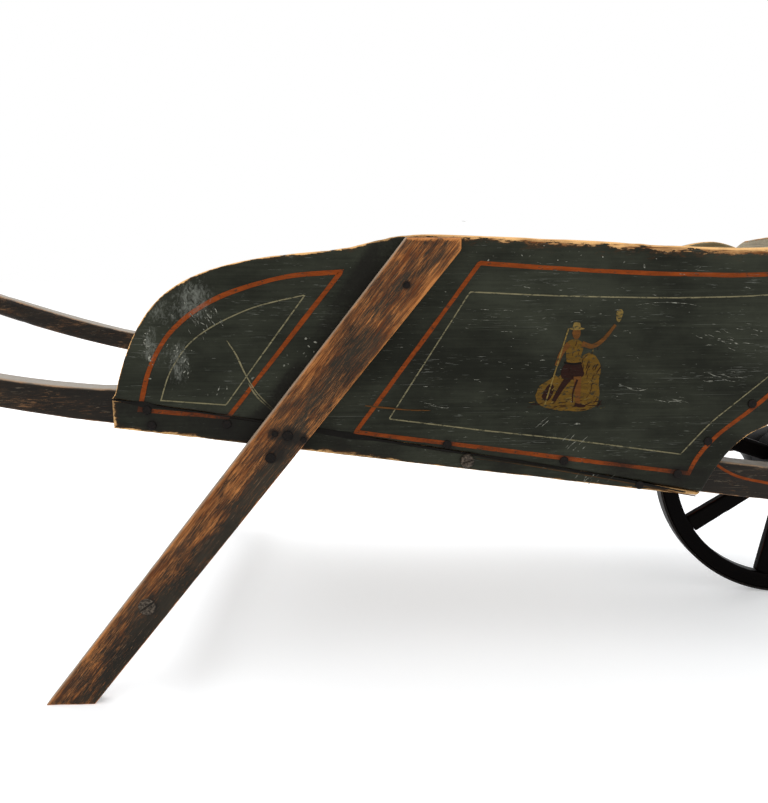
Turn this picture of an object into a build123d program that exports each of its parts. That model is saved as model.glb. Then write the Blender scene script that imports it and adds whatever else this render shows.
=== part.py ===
from build123d import *
import os
from math import atan, cos, degrees, radians, sin, tan

# A small wooden wheelbarrow with splayed sides. +X points forward to the wheel, +Y to the left,
# +Z up, and the floor is Z = 0. Lengths are millimetres and angles are degrees.
# Side pieces are drawn in side coordinates: s runs forward along a side, z is height.

# Stance
wheel_radius = 117.0            # over the tyre
handle_tip_x = -470.0
box_half_width = 164.1          # middle to the outer face of a side board, at s = 0
splay_angle = 2.5               # each side closes in towards the wheel by this angle
frame_fall = 0.13               # the shafts drop this much for each unit forward
axle_lift = 2.6                 # axle above the line of the shafts' undersides

# Shafts
shaft_width = 20.0
shaft_depth = 23.0
shaft_bend_s = -177.0           # the handles start to rise here
waist_depth = 20.7
waist_s = -235.0
grip_start_s = -388.0
grip_depth = 15.0
grip_rise = 84.0                # middle of the grip's end above the underside at the bend
grip_rounding = 5.0
lobe_set_back = 3.0             # bearing end's radius below the shaft's depth
lobe_radius = shaft_depth - lobe_set_back
lobe_blend_length = 70.0

# Side boards
board_thickness = 12.0
board_rear_s = -171.0
board_toe_s = 211.0
rear_end_lean = 2.5
right_end_height = 4.0          # straight rear end below the curve, above the split
left_end_height = 21.0          # the same on the left board, above its lower edge
rim_height = 142.2              # top edge beside the leg above the underside at s = 0
crest_height = 146.9            # front crest above the same line
crest_s = 331.0
toe_height = 2.2
front_margin = 19.5             # side board in front of the front board's middle
nose_reach = 212.0              # nose measured up the slope of the front board
brow_reach = 55.0               # where the straight front edge starts
split_height_rear = 18.3        # split in the right board above its lower edge
split_height_middle = 11.0
split_middle_s = 40.0
split_gap = 0.6
strip_tip_rounding = 2.5

# Front board and floor
front_rake = 42.0
front_thickness = 10.0
front_foot_s = 198.0            # where its middle plane meets the top of the shafts
front_side_reach = 217.0        # length up the slope at its sides
front_crown = 9.0               # rise of its arched top edge
wheel_clearance = 12.0          # between the tyre and the front board
floor_thickness = 8.0
floor_count = 4
floor_joint = 1.0
floor_rear_s = -165.0
floor_front_gap = 1.5
side_clearance = 0.5

# Cross members
front_bar_s = 53.9
front_bar_width = 24.0
front_bar_depth = 12.0
bolster_s = -74.0
bolster_width = 20.0
bolster_depth = 15.0
bolster_gap = 0.3
butt_gap = 0.1

# Legs
leg_thickness = 12.0
leg_foot_s = -206.4
leg_foot_width = 31.6
leg_top_s = 29.5
leg_top_width = 33.7
leg_top_drop = 1.9              # leg top below the rim
leg_top_chamfer = 7.4
stretcher_height = 67.8
stretcher_width = 20.0
stretcher_depth = 12.0

# Fasteners
nail_shank = 2.4
nail_head = 5.6
nail_head_height = 0.8
nail_length = 27.0
screw_shank = 4.5
screw_length = 30.0
flat_head = 11.0
round_head = 9.0
round_head_height = 2.6
slot_width = 1.3
slot_depth = 1.0
spike_shank = 5.0
spike_head = 6.6
spike_head_height = 0.9
spike_length = 38.0
floor_nail_length = 14.0
leg_nail_length = 20.0
small_head = 4.0
crossbar_screw_length = 48.0

# Wheel
rim_depth = 13.0
rim_width = 12.0
tyre_thickness = 2.0
tyre_width = 13.0
spoke_angles = (161.5, 213.3, 260.5, 312.7, 364.9, 417.1, 469.3)
spoke_width_rim = 16.0
spoke_width_hub = 13.0
spoke_thickness = 9.0
hub_tenon_width = 10.0
hub_tenon_thickness = 6.0
hub_tenon_length = 12.0
rim_tenon_diameter = 7.0
rim_tenon_length = 8.0
tenon_root = 1.0                # tenon carried back into the spoke's body
rim_joint_angle = 98.0
dowel_diameter = 5.0
dowel_length = 16.0
tyre_nail_count = 6
tyre_nail_start = 25.0
tyre_nail_diameter = 3.0
tyre_nail_length = 10.0
tyre_nail_recess = 0.1

# Axletree
barrel_radius = 26.0
barrel_half_length = 18.0
shoulder_radius = 22.0
bead_radius = 23.5
bead_y = 46.0
neck_radius = 14.0
neck_y = 80.0
journal_radius = 11.5
end_play = 1.3
ferrule_thickness = 1.4
ferrule_length = 9.0
gudgeon_diameter = 8.0
gudgeon_grip = 27.0             # length held in the axletree
gudgeon_overhang = 2.5
running_clearance = 0.05        # on the radius

# Worked out from the sizes above
splay = radians(splay_angle)
rake = radians(front_rake)
fall_angle = atan(frame_fall)
axle_distance = wheel_radius + wheel_clearance + front_thickness / 2
axle_x = front_foot_s + (axle_distance - (shaft_depth - axle_lift) * cos(rake)) / (
    sin(rake) + frame_fall * cos(rake))
axle_z = wheel_radius
underside_z = axle_z - axle_lift + frame_fall * axle_x
rim_z = underside_z + rim_height
crest_z = underside_z + crest_height
leg_top_z = rim_z - leg_top_drop


# ---- Places ----

def underside(s):
    """Height of the shafts' underside."""
    return underside_z - frame_fall * s


def half_width(x, inset):
    """Distance from the middle to a side plane that lies inset from the boards' outer faces."""
    return box_half_width - x * tan(splay) - inset / cos(splay)


def side_plane(inset):
    """Upright plane of the right side, facing outwards, inset from the board's outer face."""
    inward = Vector(-sin(splay), cos(splay), 0)
    origin = Vector(0, -box_half_width, 0) + inward * inset
    return Plane(origin=origin, x_dir=(cos(splay), sin(splay), 0), z_dir=-inward)


def side_slab(outline, inset, thickness):
    """Extrude an outline in side coordinates inwards from a given inset."""
    face = make_face(outline)
    return extrude(side_plane(inset + thickness) * face, thickness)


def left(solid):
    """The same piece on the left side."""
    return mirror(solid, about=Plane.XZ)


def bed_plane(height):
    """Plane of the sloping bed, at a height above the shafts' undersides."""
    origin = (0, 0, underside_z + height)
    return Plane(origin=origin, x_dir=(cos(fall_angle), 0, -sin(fall_angle)),
                 z_dir=(sin(fall_angle), 0, cos(fall_angle)))


def leg_middle_s(z):
    """Middle of a leg at height z."""
    return leg_foot_s + (leg_top_s - leg_foot_s) * z / leg_top_z


def slope_point(reach, forward):
    """Side coordinates of a point up the front board's slope, and forward of its middle."""
    foot_z = underside(front_foot_s) + shaft_depth
    s = front_foot_s + reach * cos(rake) + forward * sin(rake)
    return s, foot_z + reach * sin(rake) - forward * cos(rake)


# ---- Fasteners, each driven along -Z into the plane it is placed on ----

def driven(head_diameter, head_height, shank_diameter, length):
    """A nail or spike: a domed-off head standing on the surface and a round shank."""
    head = Cylinder(head_diameter / 2, head_height, align=(Align.CENTER, Align.CENTER, Align.MIN))
    head = chamfer(head.edges().group_by(Axis.Z)[-1], head_height * 0.4)
    shank = Cylinder(shank_diameter / 2, length, align=(Align.CENTER, Align.CENTER, Align.MAX))
    return head + shank


def flat_screw():
    """A countersunk slotted screw with its head flush."""
    depth = (flat_head - screw_shank) / 2
    head = Cone(screw_shank / 2, flat_head / 2, depth, align=(Align.CENTER, Align.CENTER, Align.MAX))
    shank = Cylinder(screw_shank / 2, screw_length, align=(Align.CENTER, Align.CENTER, Align.MAX))
    slot = Box(flat_head, slot_width, slot_depth, align=(Align.CENTER, Align.CENTER, Align.MAX))
    return head + shank - slot


def round_screw():
    """A slotted screw with a raised round head."""
    head = Cylinder(round_head / 2, round_head_height,
                    align=(Align.CENTER, Align.CENTER, Align.MIN))
    head = fillet(head.edges().group_by(Axis.Z)[-1], round_head_height * 0.6)
    slot = Pos(0, 0, round_head_height - slot_depth) * Box(
        round_head, slot_width, slot_depth, align=(Align.CENTER, Align.CENTER, Align.MIN))
    shank = Cylinder(screw_shank / 2, crossbar_screw_length,
                     align=(Align.CENTER, Align.CENTER, Align.MAX))
    return head - slot + shank


def on_side(fastener, s, z, inset, turn=0):
    """Drive a fastener inwards through the right side at s and z."""
    return side_plane(inset) * Pos(s, z, 0) * Rot(Z=turn) * fastener


def stretcher_screw():
    """Screw through the right leg into the stretcher's end."""
    return on_side(flat_screw(), leg_middle_s(stretcher_height), stretcher_height,
                   -leg_thickness, 35)


def crossbar_screw():
    """Screw through the right board and shaft into the front cross bar's end."""
    z = underside(front_bar_s) + front_bar_depth / 2
    return on_side(round_screw(), front_bar_s, z, 0, 20)


def leg_spikes():
    """Spikes through the right leg: one into the shaft, one into the bolster's end."""
    spike = driven(spike_head, spike_head_height, spike_shank, spike_length)
    shaft_z = underside_z + 19.2
    bolster_z = underside(bolster_s) - 4.5
    return [on_side(spike, leg_middle_s(shaft_z) + 5.0, shaft_z, -leg_thickness),
            on_side(spike, leg_middle_s(bolster_z) + 5.0, bolster_z, -leg_thickness)]


def leg_nails():
    """Small nails through the right leg into the side board behind it."""
    nail = driven(small_head, nail_head_height, nail_shank, leg_nail_length)
    heights = ((underside_z + 20.5, -4.0), (underside_z + 16.5, 17.0), (leg_top_z - 28.2, 5.8))
    return [on_side(nail, leg_middle_s(z) + shift, z, -leg_thickness) for z, shift in heights]


def side_nails():
    """Nails through the right board into the shaft, placed by height above the underside."""
    nail = driven(nail_head, nail_head_height, nail_shank, nail_length)
    places = ((board_rear_s + 21.7, 14.6), (board_rear_s + 24.2, 5.1), (board_rear_s + 71.3, 11.6),
              (front_bar_s - 13.1, 15.2), (front_bar_s + 63.7, 13.5),
              (board_toe_s - 42.4, 3.0), (board_toe_s - 17.3, 13.6))
    return [on_side(nail, s, underside(s) + height, 0) for s, height in places]


def front_board_nails():
    """Nails through the right board into the front board's end."""
    nail = driven(nail_head, nail_head_height, nail_shank, nail_length)
    places = [slope_point(reach, 0) for reach in (19.5, 56.5, 110.0, 165.0)]
    return [on_side(nail, s, z, 0) for s, z in places]


# ---- Frame ----

def shaft_blank():
    """Right shaft before its holes: straight under the box, rising behind it to the grip."""
    lobe_s = (axle_x + (board_thickness + shaft_width / 2) * sin(splay)) / cos(splay)
    tip_s = (handle_tip_x + (board_thickness + shaft_width / 2) * sin(splay)) / cos(splay)
    bend_z = underside(shaft_bend_s)
    tip_z = bend_z + grip_rise
    blend_s = lobe_s - lobe_blend_length
    lean_s = lobe_radius * sin(fall_angle)
    lean_z = lobe_radius * cos(fall_angle)
    bend_under = (shaft_bend_s, bend_z)
    tip_under = (tip_s, tip_z - grip_depth / 2)
    tip_over = (tip_s, tip_z + grip_depth / 2)
    bend_over = (shaft_bend_s, bend_z + shaft_depth)
    waist_over = (waist_s, underside(waist_s) + waist_depth)
    grip_over = (grip_start_s, tip_z + grip_depth / 2 - 24.0)
    lobe_top = (lobe_s + lean_s, axle_z + lean_z)
    lobe_front = (lobe_s + lobe_radius, axle_z)
    lobe_bottom = (lobe_s, axle_z - lobe_radius)
    handle_under = TangentArc(bend_under, tip_under, tangent=(-1, frame_fall))
    outline = handle_under + Line(tip_under, tip_over)
    outline += Spline(tip_over, grip_over, waist_over, bend_over)
    outline += Line(bend_over, lobe_top)
    outline += ThreePointArc(lobe_top, lobe_front, lobe_bottom)
    outline += Spline(lobe_bottom, (blend_s, underside(blend_s)),
                      tangents=((-1, 0), (-1, frame_fall)))
    outline += Line((blend_s, underside(blend_s)), bend_under)
    return side_slab(outline, board_thickness, shaft_width)


def shaft_with_grip(blank):
    """Round off the edges of the shaft behind the start of the grip."""
    cut = Plane(origin=(grip_start_s, 0, 0), x_dir=(0, 1, 0), z_dir=(1, 0, 0))
    front = split(blank, bisect_by=cut, keep=Keep.TOP)
    grip = split(blank, bisect_by=cut, keep=Keep.BOTTOM)
    joint_face = grip.faces().sort_by(Axis.X)[-1]
    free_edges = grip.edges() - joint_face.edges()
    return front + fillet(free_edges, grip_rounding)


def bearing_hole():
    """Hole for the right gudgeon, square to the wheel."""
    hole = Cylinder(gudgeon_diameter / 2 + running_clearance, 4 * shaft_width, rotation=(90, 0, 0))
    return Pos(axle_x, -half_width(axle_x, board_thickness + shaft_width / 2), axle_z) * hole


def board_above(lower_edge, rear_top):
    """Outline of a side board above a lower edge that runs from its rear to its toe."""
    rear, toe = lower_edge @ 0, lower_edge @ 1
    nose = slope_point(nose_reach, front_margin)
    brow = slope_point(brow_reach, front_margin)
    rear_curve = [(board_rear_s + 10.0, rim_z - 73.2), (board_rear_s + 33.2, rim_z - 37.5),
                  (board_rear_s + 73.6, rim_z - 18.2), (board_rear_s + 119.4, rim_z - 10.9)]
    leg_rise = [(leg_top_s - 50.4, rim_z - 7.3), (leg_top_s - 25.8, rim_z - 1.5),
                (leg_top_s + 17.4, rim_z), (leg_top_s + 105.0, rim_z - 3.5)]
    crest = [(crest_s - 89.3, rim_z - 7.3), (crest_s - 41.0, crest_z - 6.7), (crest_s, crest_z),
             (crest_s + 19.0, crest_z - 4.5), (crest_s + 34.0, crest_z - 13.5)]
    toe_curve = [(toe.X + 18.7, toe.Y + 29.7), (toe.X + 6.0, toe.Y + 11.5)]
    outline = lower_edge + Line((rear.X, rear.Y), rear_top)
    outline += Spline(rear_top, *rear_curve, *leg_rise, *crest, nose)
    outline += Line(nose, brow)
    outline += Spline(brow, *toe_curve, (toe.X, toe.Y))
    return outline


def split_curve(gap):
    """Line of the split in the right board, a gap above the strip's own top edge."""
    rear = (board_rear_s, underside(board_rear_s) + split_height_rear + gap)
    middle = (split_middle_s, underside(split_middle_s) + split_height_middle + gap)
    toe = (board_toe_s, underside(board_toe_s) + toe_height + gap)
    return ThreePointArc(rear, middle, toe)


def right_board_blank():
    """Right side board, whose lower edge is the split."""
    lower = split_curve(split_gap)
    rear = lower @ 0
    rear_top = (rear.X + rear_end_lean, rear.Y + right_end_height)
    return side_slab(board_above(lower, rear_top), 0, board_thickness)


def left_board_blank():
    """Left side board, whose lower edge is level with the shaft's underside."""
    lower = Line((board_rear_s, underside(board_rear_s)), (board_toe_s, underside(board_toe_s)))
    rear_top = (board_rear_s + rear_end_lean, underside(board_rear_s) + left_end_height)
    return side_slab(board_above(lower, rear_top), 0, board_thickness)


def strip_blank():
    """Strip split off the right board, tapering to a rounded tip under the toe."""
    upper = split_curve(0)
    rear, toe = upper @ 0, upper @ 1
    rear_under = (board_rear_s, underside(board_rear_s))
    tip_under = (toe.X - strip_tip_rounding, underside(toe.X - strip_tip_rounding))
    outline = upper + Line(rear_under, (rear.X, rear.Y)) + Line(tip_under, rear_under)
    outline += Line((toe.X, toe.Y), tip_under)
    return side_slab(outline, 0, board_thickness)


def leg_blank():
    """Right leg: a slanting flat bar with a level foot and a level top."""
    foot = leg_foot_width / 2
    top = leg_top_width / 2
    front_top = leg_top_s + top
    outline = Polyline((leg_foot_s - foot, 0), (leg_foot_s + foot, 0),
                       (front_top, leg_top_z - leg_top_chamfer), (front_top, leg_top_z),
                       (leg_top_s - top, leg_top_z), close=True)
    return side_slab(outline, -leg_thickness, leg_thickness)


def stretcher_blank():
    """Flat bar between the two legs, in line with their slant."""
    slant = atan(leg_top_z / (leg_top_s - leg_foot_s))
    middle_x = leg_middle_s(stretcher_height) * cos(splay)
    width = half_width(middle_x, 0) - butt_gap
    block = Pos(middle_x, 0, stretcher_height) * Rot(Y=-degrees(slant)) * Box(
        stretcher_width, 3 * width, stretcher_depth)
    return trimmed(block, butt_gap)


def trimmed(solid, inset):
    """Cut a cross piece to length between the two side planes at an inset."""
    reach = abs(handle_tip_x)
    half = side_slab(Polyline((-reach, -reach), (reach, -reach), (reach, reach), (-reach, reach),
                              close=True), inset - reach, reach)
    return solid - half - left(half)


def cross_bar(middle_s, width, depth, height, inset):
    """Cross piece square to the bed whose top is at a height above the shafts' undersides."""
    along = middle_s * cos(splay) / cos(fall_angle)
    block = bed_plane(height * cos(fall_angle)) * Pos(along, 0, -depth / 2) * Box(
        width, 3 * box_half_width, depth)
    return trimmed(block, inset)


def front_bar_blank():
    """Cross bar between the shafts, level with their undersides."""
    return cross_bar(front_bar_s, front_bar_width, front_bar_depth, front_bar_depth,
                     board_thickness + shaft_width + butt_gap)


def bolster_blank():
    """Cross bar under the shafts and between the legs."""
    return cross_bar(bolster_s, bolster_width, bolster_depth, -bolster_gap, butt_gap)


def floor_plane():
    """Plane that the floor boards lie on, along the tops of the shafts."""
    return bed_plane(shaft_depth)


def floor_boards():
    """Floor boards laid across the shafts, from the rear to the front board."""
    start = floor_rear_s / cos(fall_angle)
    end = (front_foot_s - front_thickness / 2 / sin(rake) - floor_front_gap) / cos(fall_angle)
    pitch = (end - start + floor_joint) / floor_count
    boards = []
    for index in range(floor_count):
        middle = start + index * pitch + (pitch - floor_joint) / 2
        block = floor_plane() * Pos(middle, 0, floor_thickness / 2) * Box(
            pitch - floor_joint, 3 * box_half_width, floor_thickness)
        boards.append(trimmed(block, board_thickness + side_clearance))
    return boards


def floor_nails():
    """Two nails at each end of each floor board, into the shafts."""
    nail = driven(small_head, nail_head_height, nail_shank, floor_nail_length)
    start = floor_rear_s / cos(fall_angle)
    end = (front_foot_s - front_thickness / 2 / sin(rake) - floor_front_gap) / cos(fall_angle)
    pitch = (end - start + floor_joint) / floor_count
    nails = []
    for index in range(floor_count):
        for share in (0.25, 0.75):
            along = start + (index + share) * pitch
            across = half_width(along * cos(fall_angle), board_thickness + shaft_width / 2)
            for side in (-1, 1):
                place = Pos(along, side * across, floor_thickness)
                nails.append(floor_plane() * place * nail)
    return nails


def front_board_blank():
    """Sloping front board between the side boards, with an arched top edge."""
    foot_z = underside(front_foot_s) + shaft_depth
    plane = Plane(origin=(front_foot_s, 0, foot_z), x_dir=(cos(rake), 0, sin(rake)),
                  z_dir=(-sin(rake), 0, cos(rake)))
    side = box_half_width
    outline = Polyline((front_side_reach, -side), (-side, -side), (-side, side),
                       (front_side_reach, side))
    outline += ThreePointArc((front_side_reach, side), (front_side_reach + front_crown, 0),
                             (front_side_reach, -side))
    board = extrude(plane * make_face(outline), front_thickness / 2, both=True)
    board = split(board, bisect_by=floor_plane(), keep=Keep.TOP)
    return trimmed(board, board_thickness + side_clearance)


# ---- Wheel, drawn flat in a plane whose local Z is the axle ----

def on_wheel(shape):
    """Place a shape drawn about the origin's Z axis on the axle."""
    return Plane(origin=(axle_x, 0, axle_z), x_dir=(1, 0, 0), z_dir=(0, -1, 0)) * shape


def ring(outer, inner, width):
    """Flat ring about Z."""
    return Cylinder(outer, width) - Cylinder(inner, 2 * width)


def hub_tenon(angle):
    """Flat tenon of a spoke, from inside the barrel to just inside the spoke's body."""
    length = hub_tenon_length + tenon_root
    tenon = Box(length, hub_tenon_width, hub_tenon_thickness,
                align=(Align.MAX, Align.CENTER, Align.CENTER))
    return on_wheel(Rot(Z=angle) * Pos(barrel_radius + tenon_root, 0, 0) * tenon)


def rim_tenon(angle):
    """Round tenon of a spoke, from just inside the spoke's body into the rim."""
    rim_inner = wheel_radius - tyre_thickness - rim_depth
    length = rim_tenon_length + tenon_root
    tenon = Cylinder(rim_tenon_diameter / 2, length, align=(Align.CENTER, Align.CENTER, Align.MIN))
    return on_wheel(Rot(Z=angle) * Pos(rim_inner - tenon_root, 0, 0) * Rot(Y=90) * tenon)


def spoke(angle):
    """One spoke: a flat tapered bar between barrel and rim, with a tenon at each end."""
    rim_inner = wheel_radius - tyre_thickness - rim_depth
    inner, outer = barrel_radius / 2, (rim_inner + wheel_radius) / 2
    outline = Polyline((inner, -spoke_width_hub / 2), (outer, -spoke_width_rim / 2),
                       (outer, spoke_width_rim / 2), (inner, spoke_width_hub / 2), close=True)
    bar = extrude(make_face(outline), spoke_thickness / 2, both=True)
    bar = (bar - Cylinder(barrel_radius, rim_width)) & Cylinder(rim_inner, rim_width)
    return on_wheel(Rot(Z=angle) * bar) + hub_tenon(angle) + rim_tenon(angle)


def half_rim_blanks():
    """Two bent half rims that meet at the joint angle and opposite it."""
    outer = wheel_radius - tyre_thickness
    whole = ring(outer, outer - rim_depth, rim_width)
    halves = []
    for side in (1, -1):
        cutter = Pos(0, side * wheel_radius, 0) * Box(4 * wheel_radius, 2 * wheel_radius,
                                                      2 * rim_width)
        halves.append(on_wheel(Rot(Z=rim_joint_angle) * (whole & cutter)))
    return halves


def rim_dowels():
    """Dowels that join the half rims."""
    radius = wheel_radius - tyre_thickness - rim_depth / 2
    dowel = Rot(X=90) * Cylinder(dowel_diameter / 2, dowel_length)
    return [on_wheel(Rot(Z=rim_joint_angle + turn) * Pos(radius, 0, 0) * dowel)
            for turn in (0, 180)]


def tyre_nails():
    """Nails through the tyre into the rim."""
    nails = []
    outer = wheel_radius - tyre_nail_recess
    for index in range(tyre_nail_count):
        nail = Pos(outer - tyre_nail_length / 2, 0, 0) * Rot(Y=90) * Cylinder(
            tyre_nail_diameter / 2, tyre_nail_length)
        nails.append(on_wheel(Rot(Z=tyre_nail_start + index * 360 / tyre_nail_count) * nail))
    return nails


def axletree_half_length():
    """Half the axletree's length: it stops short of the converging shafts by the end play."""
    nearest = half_width(axle_x + journal_radius, board_thickness + shaft_width)
    return nearest - end_play


def axletree_blank():
    """Turned axletree: a barrel that takes the spokes, tapering to a journal at each end."""
    end = axletree_half_length()
    seat = journal_radius - ferrule_thickness
    half = Line((0, 0), (barrel_radius, 0))
    half += Line((barrel_radius, 0), (barrel_radius, barrel_half_length))
    half += Line((barrel_radius, barrel_half_length), (shoulder_radius, barrel_half_length))
    half += ThreePointArc((shoulder_radius, barrel_half_length), (bead_radius, bead_y / 2 + 14),
                          (bead_radius - 1.5, bead_y))
    half += Spline((bead_radius - 1.5, bead_y), (neck_radius, neck_y),
                   (journal_radius, end - ferrule_length))
    half += Polyline((journal_radius, end - ferrule_length), (seat, end - ferrule_length),
                     (seat, end), (0, end), (0, 0))
    solid = revolve(make_face(half), Axis.Y)
    return Pos(axle_x, 0, axle_z) * (solid + mirror(solid, about=Plane.XZ))


def right_ferrule():
    """Iron ring on the right end of the axletree."""
    body = ring(journal_radius, journal_radius - ferrule_thickness, ferrule_length)
    return on_wheel(Pos(0, 0, axletree_half_length() - ferrule_length / 2) * body)


def right_gudgeon():
    """Iron pin driven into the axletree that turns in the right shaft."""
    inner = axletree_half_length() - gudgeon_grip
    outer = half_width(axle_x, board_thickness) + gudgeon_overhang
    pin = Cylinder(gudgeon_diameter / 2, outer - inner)
    pin = chamfer(pin.edges().group_by(Axis.Z)[-1], gudgeon_diameter / 10)
    return on_wheel(Pos(0, 0, (inner + outer) / 2) * pin)


# ---- Assembly ----

def bored(blank, fasteners):
    """A wooden piece with the holes that its fasteners fill."""
    for fastener in fasteners:
        blank = blank - fastener
    return blank


def build_frame():
    """Every node of the frame, by name."""
    sides = side_nails()
    fronts = front_board_nails()
    spikes = leg_spikes()
    nails = leg_nails()
    bar_screw = crossbar_screw()
    rung_screw = stretcher_screw()
    bed_nails = floor_nails()
    through_board = sides + fronts + spikes + nails + [bar_screw]
    shaft = shaft_with_grip(shaft_blank()) - bearing_hole()
    shaft = bored(shaft, sides + spikes + [bar_screw] + bed_nails)
    leg = bored(leg_blank(), spikes + nails + [rung_screw])
    nodes = {
        "right_shaft": shaft,
        "left_shaft": left(shaft),
        "right_side_board": bored(right_board_blank(), through_board),
        "right_split_strip": bored(strip_blank(), through_board),
        "left_side_board": left(bored(left_board_blank(), through_board)),
        "right_leg": leg,
        "left_leg": left(leg),
        "leg_stretcher": bored(stretcher_blank(), [rung_screw, left(rung_screw)]),
        "front_board": bored(front_board_blank(), fronts + [left(nail) for nail in fronts]),
        "front_cross_bar": bored(front_bar_blank(), [bar_screw, left(bar_screw)]),
        "rear_bolster": bored(bolster_blank(), spikes + [left(spike) for spike in spikes]),
        "side_board_nails": both_sides(sides),
        "front_board_nails": both_sides(fronts),
        "leg_spikes": both_sides(spikes),
        "leg_nails": both_sides(nails),
        "cross_bar_screws": both_sides([bar_screw]),
        "stretcher_screws": both_sides([rung_screw]),
        "floor_nails": Compound(children=bed_nails),
    }
    for index, board in enumerate(floor_boards(), start=1):
        nodes[f"floor_board_{index}"] = bored(board, bed_nails)
    return nodes


def both_sides(solids):
    """One node that holds fasteners and their mirror images."""
    return Compound(children=list(solids) + [left(solid) for solid in solids])


def build_wheel():
    """Every node of the wheel, by name."""
    hub_tenons = [hub_tenon(angle) for angle in spoke_angles]
    rim_tenons = [rim_tenon(angle) for angle in spoke_angles]
    dowels = rim_dowels()
    nails = tyre_nails()
    gudgeon = right_gudgeon()
    ferrule = right_ferrule()
    tyre = on_wheel(ring(wheel_radius, wheel_radius - tyre_thickness, tyre_width))
    rims = [bored(rim, rim_tenons + dowels + nails) for rim in half_rim_blanks()]
    nodes = {
        "axletree": bored(axletree_blank(), hub_tenons + [gudgeon, left(gudgeon)]),
        "right_ferrule": ferrule,
        "left_ferrule": left(ferrule),
        "right_gudgeon": gudgeon,
        "left_gudgeon": left(gudgeon),
        "rear_half_rim": rims[0],
        "front_half_rim": rims[1],
        "iron_tyre": bored(tyre, nails),
        "rim_dowels": Compound(children=dowels),
        "tyre_nails": Compound(children=nails),
    }
    for index, angle in enumerate(spoke_angles, start=1):
        nodes[f"spoke_{index}"] = spoke(angle)
    return nodes


os.makedirs("parts", exist_ok=True)
for name, solid in {**build_frame(), **build_wheel()}.items():
    export_step(solid, f"parts/{name}.step")
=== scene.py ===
"""Looks for the painted wooden wheelbarrow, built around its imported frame.

Every wooden piece is a plank surface whose outline is read from its own frame node, with worn
arrises and a slightly uneven face. Lengths in the classes are millimetres; meshes are metres.
"""
import logging
import math
from dataclasses import dataclass, field
from enum import Enum
from typing import Callable, Optional, Sequence, Union

import bmesh
import bpy
import numpy as np
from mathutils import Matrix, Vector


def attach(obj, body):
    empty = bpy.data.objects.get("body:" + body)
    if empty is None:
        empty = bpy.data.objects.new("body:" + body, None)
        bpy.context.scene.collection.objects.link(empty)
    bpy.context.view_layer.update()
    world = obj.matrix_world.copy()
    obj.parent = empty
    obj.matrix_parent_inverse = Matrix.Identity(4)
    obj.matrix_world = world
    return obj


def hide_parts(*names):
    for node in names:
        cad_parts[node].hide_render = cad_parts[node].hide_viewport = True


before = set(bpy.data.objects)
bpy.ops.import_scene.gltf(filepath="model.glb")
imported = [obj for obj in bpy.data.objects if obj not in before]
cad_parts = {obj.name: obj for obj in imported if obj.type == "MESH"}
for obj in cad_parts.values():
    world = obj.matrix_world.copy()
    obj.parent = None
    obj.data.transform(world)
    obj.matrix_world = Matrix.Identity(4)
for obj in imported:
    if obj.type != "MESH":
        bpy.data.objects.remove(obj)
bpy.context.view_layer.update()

LOG = logging.getLogger("wheelbarrow")
MM = 0.001
WELD = 1e-7
SPLAY = math.radians(2.5)
FALL = 0.13
RAKE = math.radians(42.0)
HALF_WIDTH = 164.1
SIDE_SHIFT = HALF_WIDTH * math.sin(SPLAY)
AXLE = np.array([353.196, 0.0, 117.0])
LEG_TOP = 300.6
LEG_RUN = 235.9
LEG_LEAN = math.atan2(-LEG_RUN, LEG_TOP)
LEG_LINE = (-190.6, 203.3)
LEG_HALF = 16.5
SPLIT_HEIGHT = 164.5
SEED_SHIFT = 431.0
DARKER = 0.62

Colour = tuple[float, float, float]
Field = Callable[[np.ndarray, np.ndarray], np.ndarray]
Table = Sequence[tuple[float, float]]


class Body(str, Enum):
    """The two rigid bodies of the barrow."""

    FRAME = "frame"
    WHEEL = "wheel"


class Side(Enum):
    """Which side of the barrow a piece is on: the sign of its Y."""

    RIGHT = -1
    LEFT = 1


class Slot(str, Enum):
    """Names of the material slots, kept with the definition of each new piece."""

    BOARD = "board_paint"
    LEG = "leg_paint"
    SHAFT = "shaft_paint"
    WHEEL = "wheel_paint"
    BARE = "bare_wood"
    IRON = "dark_iron"


# ---------------------------------------------------------------- numbers and curves

def srgb(red: int, green: int, blue: int) -> Colour:
    """Linear colour of an 8-bit display colour, by the standard display curve."""
    return tuple(((c / 255 + 0.055) / 1.055) ** 2.4 if c > 10 else c / 3295 for c in (red, green, blue))


def value_noise(x: np.ndarray, y: np.ndarray, cell: float, seed: int) -> np.ndarray:
    """Smooth noise between -1 and 1: random heights on a square lattice joined by smoothsteps.

    Args:
        x: first coordinate.
        y: second coordinate, of the same shape.
        cell: lattice spacing, in the unit of the coordinates.
        seed: picks the lattice's heights.

    Returns:
        The noise at each point.
    """
    u, v = np.asarray(x) / cell, np.asarray(y) / cell
    i, j = np.floor(u).astype(np.int64), np.floor(v).astype(np.int64)
    fu, fv = u - i, v - j
    fu, fv = fu * fu * (3 - 2 * fu), fv * fv * (3 - 2 * fv)

    def corner(a: np.ndarray, b: np.ndarray) -> np.ndarray:
        """Height of a lattice corner, from a hash of its two indices.

        Args:
            a: index along the first coordinate.
            b: index along the second coordinate.

        Returns:
            The height, between -1 and 1.
        """
        mixed = (a * 374761393 + b * 668265263 + seed * 974634777) & 0x7FFFFFFF
        mixed = ((mixed ^ (mixed >> 13)) * 1274126177) & 0x7FFFFFFF
        return ((mixed ^ (mixed >> 16)) & 0xFFFF) / 32767.5 - 1

    low = corner(i, j) * (1 - fu) + corner(i + 1, j) * fu
    high = corner(i, j + 1) * (1 - fu) + corner(i + 1, j + 1) * fu
    return low * (1 - fv) + high * fv


def rough_noise(x: np.ndarray, y: np.ndarray, cell: float, seed: int) -> np.ndarray:
    """Three octaves of value noise, each half as large and half as high as the last."""
    return sum(value_noise(x, y, cell / 2 ** k, seed + k) / 2 ** k for k in range(3)) / 1.75


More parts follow.
